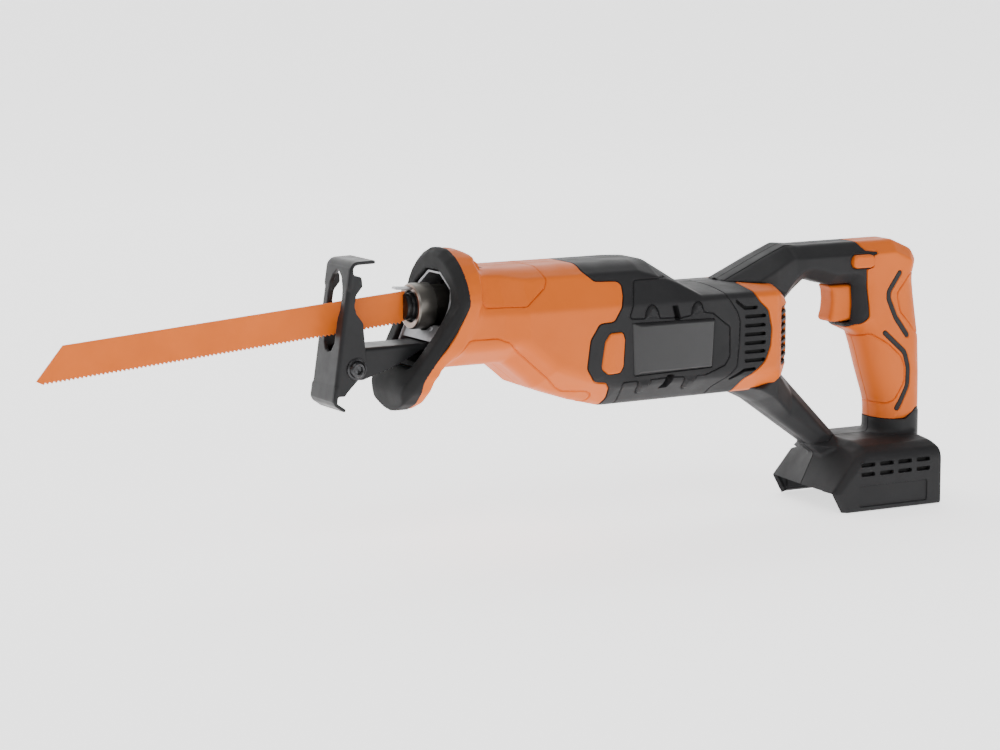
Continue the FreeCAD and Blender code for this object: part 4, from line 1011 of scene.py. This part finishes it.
def pocket(x, y, z):
    """The hollow that the trigger slides in."""
    inner = common(np.abs(x - 301.0) - 17.5, np.abs(y) - 8.2, np.abs(z + 16.9) - 12.0)
    return np.where(x > 270, inner, FAR)


LOCK = rounded(oblong(295.6, 312.4, 5.2, 13.9), 3.4)


def handle_field(x, y, z):
    hollowed = smax(handle_sides(x, y, z), -pocket(x, y, z), 0.8)
    return smax(hollowed, -signed(LOCK, x, z), 0.8)


HANDLE_BLACK = rounded(
    [(200, 40), (303.3, 40), (303.3, 22), (305.3, 18.8), (307.6, 15.9), (315.4, 15.2),
     (315.4, 13.4), (312.3, 13.0), (312.3, 5.6), (307.4, 4.6), (308.6, -7.6), (310.1, -19.5),
     (310.4, -25.5), (306.9, -28.7), (297.4, -32), (291, -33), (284, -40), (200, -40)],
    [0, 0, 1, 2, 1.5, 0.6, 0.6, 0.6, 0.6, 1, 4, 6, 3, 5, 4, 0, 0, 0])
BACK_GROOVE = bent([(352, 0.6), (340.4, -0.4), (330.3, -11.7), (333, -23.3), (345.9, -37.1),
                    (357, -40)], [0, 2, 5, 5, 2, 0])
PALM_GROOVE = bent(
    [(304, -36.5), (306.5, -38.8), (312.6, -35.9), (324.8, -43), (334.1, -51.1), (337, -57.5),
     (337, -67.3), (329.9, -78.8), (325.7, -80.9), (317.5, -80.4)],
    [0, 2, 4, 6, 4, 5, 6, 4, 3, 0])
INLAYS = [bent([(332.2, 0.8), (324.2, -10.5), (324.2, -15), (329.8, -26.8), (338.6, -38.3)],
               [0, 5, 5, 8, 0]),
          bent([(321.9, -35.9), (337.2, -49), (340, -59), (339.6, -70), (332.3, -83.8)],
               [0, 8, 8, 10, 0])]
GRIP_END = bent([(300, -89), (318, -90.2), (338.6, -91.2), (346.8, -84.6), (366, -84.6)],
                [0, 3, 2, 2, 0])

handle = Skin(handle_field, (198, -25, -100), (362, 25, 24), 1.05)


def orange_area(x, y, z):
    """Signed distance to the edge of the orange grip, positive in it."""
    above = -signed(GRIP_END + [(366, 60), (280, 60), (280, -89)], x, z)
    return np.minimum(above, signed(HANDLE_BLACK, x, z))


def inlay_edge(x, z):
    return np.minimum(beside(INLAYS[0], x, z), beside(INLAYS[1], x, z)) - 1.6


handle.seam(orange_area, 0.5, 0.8)
handle.seam(within(off_middle(6), lambda x, y, z: inlay_edge(x, z)), 0.4, 0.5)
handle.groove(BACK_GROOVE, 0.65, 0.95)
handle.groove(PALM_GROOVE, 0.65, 0.95)
handle.seam(halves, 0.4, 0.3)
handle.seam(lambda x, y, z: np.where((x < 256) & (z > 2), np.abs(y) - 8.6, FAR), 0.45, 0.6)
handle.finished()


def in_inlay(x, y, z):
    return (inlay_edge(x, z) < 0) & (np.abs(y) > 6)


make("handle_frame",
     *handle.patch(lambda x, y, z: (orange_area(x, y, z) < 0) & ~in_inlay(x, y, z)),
     BLACK, "housing", "black_plastic", ["handle_left", "handle_right"])
make("grip_shell", *handle.patch(lambda x, y, z: (orange_area(x, y, z) > 0) & ~in_inlay(x, y, z)),
     ORANGE, "housing", "orange_plastic", ["grip_pad_left", "grip_pad_right"])
make("grip_inlays", *handle.patch(in_inlay), INLAY, "housing", "black_rubber")


# ---------------- lower arm

ARM_SIDE = rounded(
    [(204, -55), (222, -56), (239, -46), (249.3, -55.3), (290.6, -97.0), (286, -104),
     (275.0, -103.3), (230.9, -72.7), (214, -64.6), (204, -62.4)],
    [0, 3, 4, 4, 1, 2, 2, 6, 8, 0])
SOCKET_SIDE = rounded(
    [(272.2, -102.6), (289.8, -96.6), (297.6, -104.6), (291, -116), (280, -108.5)],
    [1.5, 1.5, 3, 2, 2])


def lower_arm_field(x, y, z):
    side, half = signed(ARM_SIDE, x, z), np.abs(y)
    wide = ramp(x, [(204, 24.0), (228, 26.5), (238, 24.0), (254, 15.4), (300, 15.0)])
    return smax(smax(half - wide, bevelled(side, half, wide, 8.0, 6.5), 1.5), side, 1.5)


lower = Skin(lower_arm_field, (203, -28, -106), (293, 28, -43), 1.15)
lower.seam(halves, 0.4, 0.3)
lower.finished()
make("lower_arm_tube", lower.p, lower.t.tolist(), BLACK, "housing", "black_plastic",
     ["lower_arm_left", "lower_arm_right"])


# ---------------- battery foot

FOOT_SIDE = rounded(
    [(262, -99), (345, -99), (350, -106), (350, -144), (262, -144)], [0, 6, 10, 0, 0])
FOOT_NOSE = rounded([(290, -90), (286.6, -103), (281.9, -109), (271.6, -129), (276.9, -138.4),
                     (280.4, -144), (380, -144), (380, -90)], [0, 3, 4, 1.5, 1.5, 1, 0, 0])
NECK_SIDE = oblong(322.0, 355.6, -70, -125)
SLEEVE_HALF = 15.6
FOOT_SECTION = rounded(mirrored([(0, -99.6), (20, -99.9), (31, -102.2), (37.5, -106), (40, -111),
                                 (40, -160)]), [0, 9, 9, 7, 9, 0, 0, 9, 7, 9, 9])


def foot_field(x, y, z):
    """A box with a sloping nose that bends back to the sides, and further on the far side."""
    half = np.abs(y)
    bend = half * ramp(z, [(-128.4, -0.055), (-109, 0.14)]) + np.clip(y, 0, None) * 0.17
    nose = signed(FOOT_NOSE, x - bend, z)
    section = signed(FOOT_SECTION, y, z)
    deck = smax(smax(signed(FOOT_SIDE, x, z), section, 2.0), nose, 1.0)
    deck = smax(deck, (nose + section + 3.6) / DIAGONAL, 0.8)
    neck = rounded_bar(signed(NECK_SIDE, x, z), half, 17.0, 15.0, 15.0)
    sleeve = signed(SOCKET_SIDE, x, z)
    slope_in = (half - SLEEVE_HALF + (6.5 + sleeve) * 1.15) / 1.524
    sleeve = smax(smax(half - SLEEVE_HALF, slope_in, 1.2), sleeve, 1.2)
    return smin(smin(deck, neck, 4.0), sleeve, 2.5)


FOOT_VENTS = [rounded(oblong(x, x + 10.4, z + 1.3, z - 1.3), 0.9)
              for x in (289.0, 302.8, 316.6, 330.4) for z in (-112.4, -118.2)]
MOUTH_TOP, MOUTH_HALF = -128.6, 36.4
on_foot_sides = off_middle(30)
FOOT_PANEL = rounded(oblong(287.5, 339, -125.0, -138.4), 1.5)

foot = Skin(foot_field, (262, -42, -146), (362, 42, -86), 1.1)
foot.score(lambda x, y, z: z - FOOT_RIM)
foot.score(orange_area)
foot.cut_out(FOOT_VENTS, on_foot_sides)
foot.panel(FOOT_PANEL, 0.9, 0.3, on_foot_sides)
foot.score(lambda x, y, z: z - MOUTH_TOP)
foot.score(lambda x, y, z: np.abs(y) - MOUTH_HALF)
foot.seam(halves, 0.45, 0.5)
foot.finished()
foot_facing = foot.facing[:, 0]


def foot_shell(x, y, z):
    return ((z > FOOT_RIM) & ~(in_any(FOOT_VENTS, x, z) & on_foot_sides(x, y, z))
            & (orange_area(x, y, z) < 0) & ~foot_mouth(x, y, z))


def foot_mouth(x, y, z):
    """The open lower half of the front, which the battery slides in through."""
    return (x < 300) & (z < MOUTH_TOP) & (np.abs(y) < MOUTH_HALF) & (foot_facing < -0.3)


make("foot_shell", *foot.patch(foot_shell, 2.2), BLACK, "housing", "black_plastic",
     ["battery_foot_left", "battery_foot_right"])
# A near-black sheet set in behind the foot vents: painted shade for the dark inside of the vents.
make("foot_shade_sheet", *foot.patch(lambda x, y, z: (np.abs(y) > 38) & (np.abs(x - 315) < 31)
                               & (np.abs(z + 115.3) < 7), 0.5, 2.8),
     SHADE_BLACK, "housing", "black_plastic")


# ---------------- trigger and buttons

TRIGGER_SIDE = rounded(
    [(286.6, -5.3), (288.4, -8.8), (289.0, -15), (288.4, -21), (286.9, -26.2), (288.0, -28.0),
     (291, -28.3), (311, -28.2), (311, -5.3)], [1, 3, 8, 10, 1.5, 1.5, 2, 0.5, 0.5])


def trigger_field(x, y, z):
    return smax(signed(TRIGGER_SIDE, x, z), np.abs(y) - 7.6, 3.2)


mould("trigger_blade", trigger_field, (281, -10.5, -32), (311, 10.5, -3), 0.7, ORANGE,
      "trigger_lever", "orange_plastic", ["trigger"])


def lock_field(x, y, z):
    return smax(signed(scaled(LOCK, 0.55), x, z), np.abs(y) - 19.5, 1.6)


mould("lock_peg", lock_field, (293, -21, 3), (315, 21, 16), 0.75, ORANGE, "lock_bolt",
      "orange_plastic", ["lock_button"])

BUTTON_BASE = scaled(BUTTON, 0.35)


def button_field(x, y, z):
    face = -y - (38.2 - 0.10 * np.abs(x - 113.5) - 0.9 * np.clip((110.5 - x) / 5.0, 0, 1))
    return smax(smax(signed(BUTTON_BASE, x, z), face, 1.4), y + 34.0, 0.4)


mould("shoe_button_cap", button_field, (103, -39.5, -45), (124, -32.5, -16), 0.6, ORANGE,
      "shoe_button", "orange_plastic", ["shoe_release_button"])


# ---------------- the CAD nodes that are shown

SLOT_MATERIALS = {
    "orange_plastic": ORANGE, "black_plastic": BLACK, "black_rubber": RUBBER,
    "black_steel": PAINTED, "bright_steel": BRIGHT, "cast_alloy": CAST, "bearing_bronze": BRONZE,
    "copper_wire": COPPER, "blade_paint": BLADE_PAINT, "screw_steel": DARK_STEEL,
    "board_green": BOARD, "electrical_steel": CORE}
for part in frame["record"]["subparts"]:
    mesh = frame["nodes"][part["node"]].data
    mesh.materials.clear()
    mesh.materials.append(SLOT_MATERIALS[part["material_slot"]])


# ---------------- floor, light and camera

WHITE = (1.0, 1.0, 1.0, 1.0)
FLOOR_GAP = 0.0005  # metres, so that the foot's rim and the floor don't coincide
CAMERA_PLACE = (-860.52, -1624.88, 246.45)
AZIMUTH, ELEVATION = math.radians(-29.5), math.radians(8.85)


def aim(thing, place, direction):
    """Put a light or camera in a place, looking in a direction."""
    thing.location = place
    thing.rotation_mode = "QUATERNION"
    thing.rotation_quaternion = direction.to_track_quat("-Z", "Y")


def area_light(name, place, height, power, size):
    """A square white lamp that looks at a height above the middle of the floor."""
    lamp = bpy.data.lights.new(name, "AREA")
    lamp.energy = power
    lamp.size = size
    aim(put(name, lamp), place, Vector((0, 0, height)) - Vector(place))


def stage_set():
    """A white paper sweep, with soft light from the front, the right and above."""
    floor_mesh = bpy.data.meshes.new("floor")
    reach, back, height, bend = 6.0, 3.0, 5.0, 1.2
    rows = [(-reach, 0.0)]
    for i in range(13):
        angle = math.radians(90 * i / 12)
        rows.append((back - bend + bend * math.sin(angle), bend - bend * math.cos(angle)))
    rows.append((back, height))
    points = [(x, y, cad_low.z - FLOOR_GAP + z) for y, z in rows for x in (-9.0, 9.0)]
    faces = [(2 * i, 2 * i + 1, 2 * i + 3, 2 * i + 2) for i in range(len(rows) - 1)]
    floor_mesh.from_pydata(points, [], faces)
    floor_mesh.shade_smooth()
    material, tree, shader = nodes_of("paper")
    tone = noise(tree, 3.0, 2.0)
    link(tree, spread(tree, tone, (0.88, 0.88, 0.88), (0.90, 0.90, 0.90)), "Color", shader,
         "Base Color")
    shader.inputs["Roughness"].default_value = 0.9
    shader.inputs["Emission Color"].default_value = WHITE
    shader.inputs["Emission Strength"].default_value = 1.5
    floor_mesh.materials.append(material)
    put("floor", floor_mesh)
    world = bpy.data.worlds.new("studio")
    bpy.context.scene.world = world
    world.use_nodes = True
    sky = world.node_tree.nodes["Background"].inputs
    sky["Color"].default_value = WHITE
    sky["Strength"].default_value = 0.35
    area_light("key", (-0.9, -1.5, 1.9), 0.08, 24.0, 1.3)
    area_light("fill", (1.3, -2.0, 0.55), 0.1, 11.0, 0.9)
    area_light("top", (0.1, 0.5, 2.0), 0.1, 10.0, 1.6)


def camera_set():
    """The photograph's camera, 29.5 degrees to the left of square on and 8.85 degrees up."""
    camera = bpy.data.cameras.new("camera")
    camera.sensor_width = 36.0
    camera.lens = 117.0
    level = math.cos(ELEVATION)
    back = Vector((math.sin(AZIMUTH) * level, -math.cos(AZIMUTH) * level, math.sin(ELEVATION)))
    eye = put("camera", camera)
    aim(eye, to_row(CAMERA_PLACE), -back)
    bpy.context.scene.camera = eye


stage_set()
camera_set()
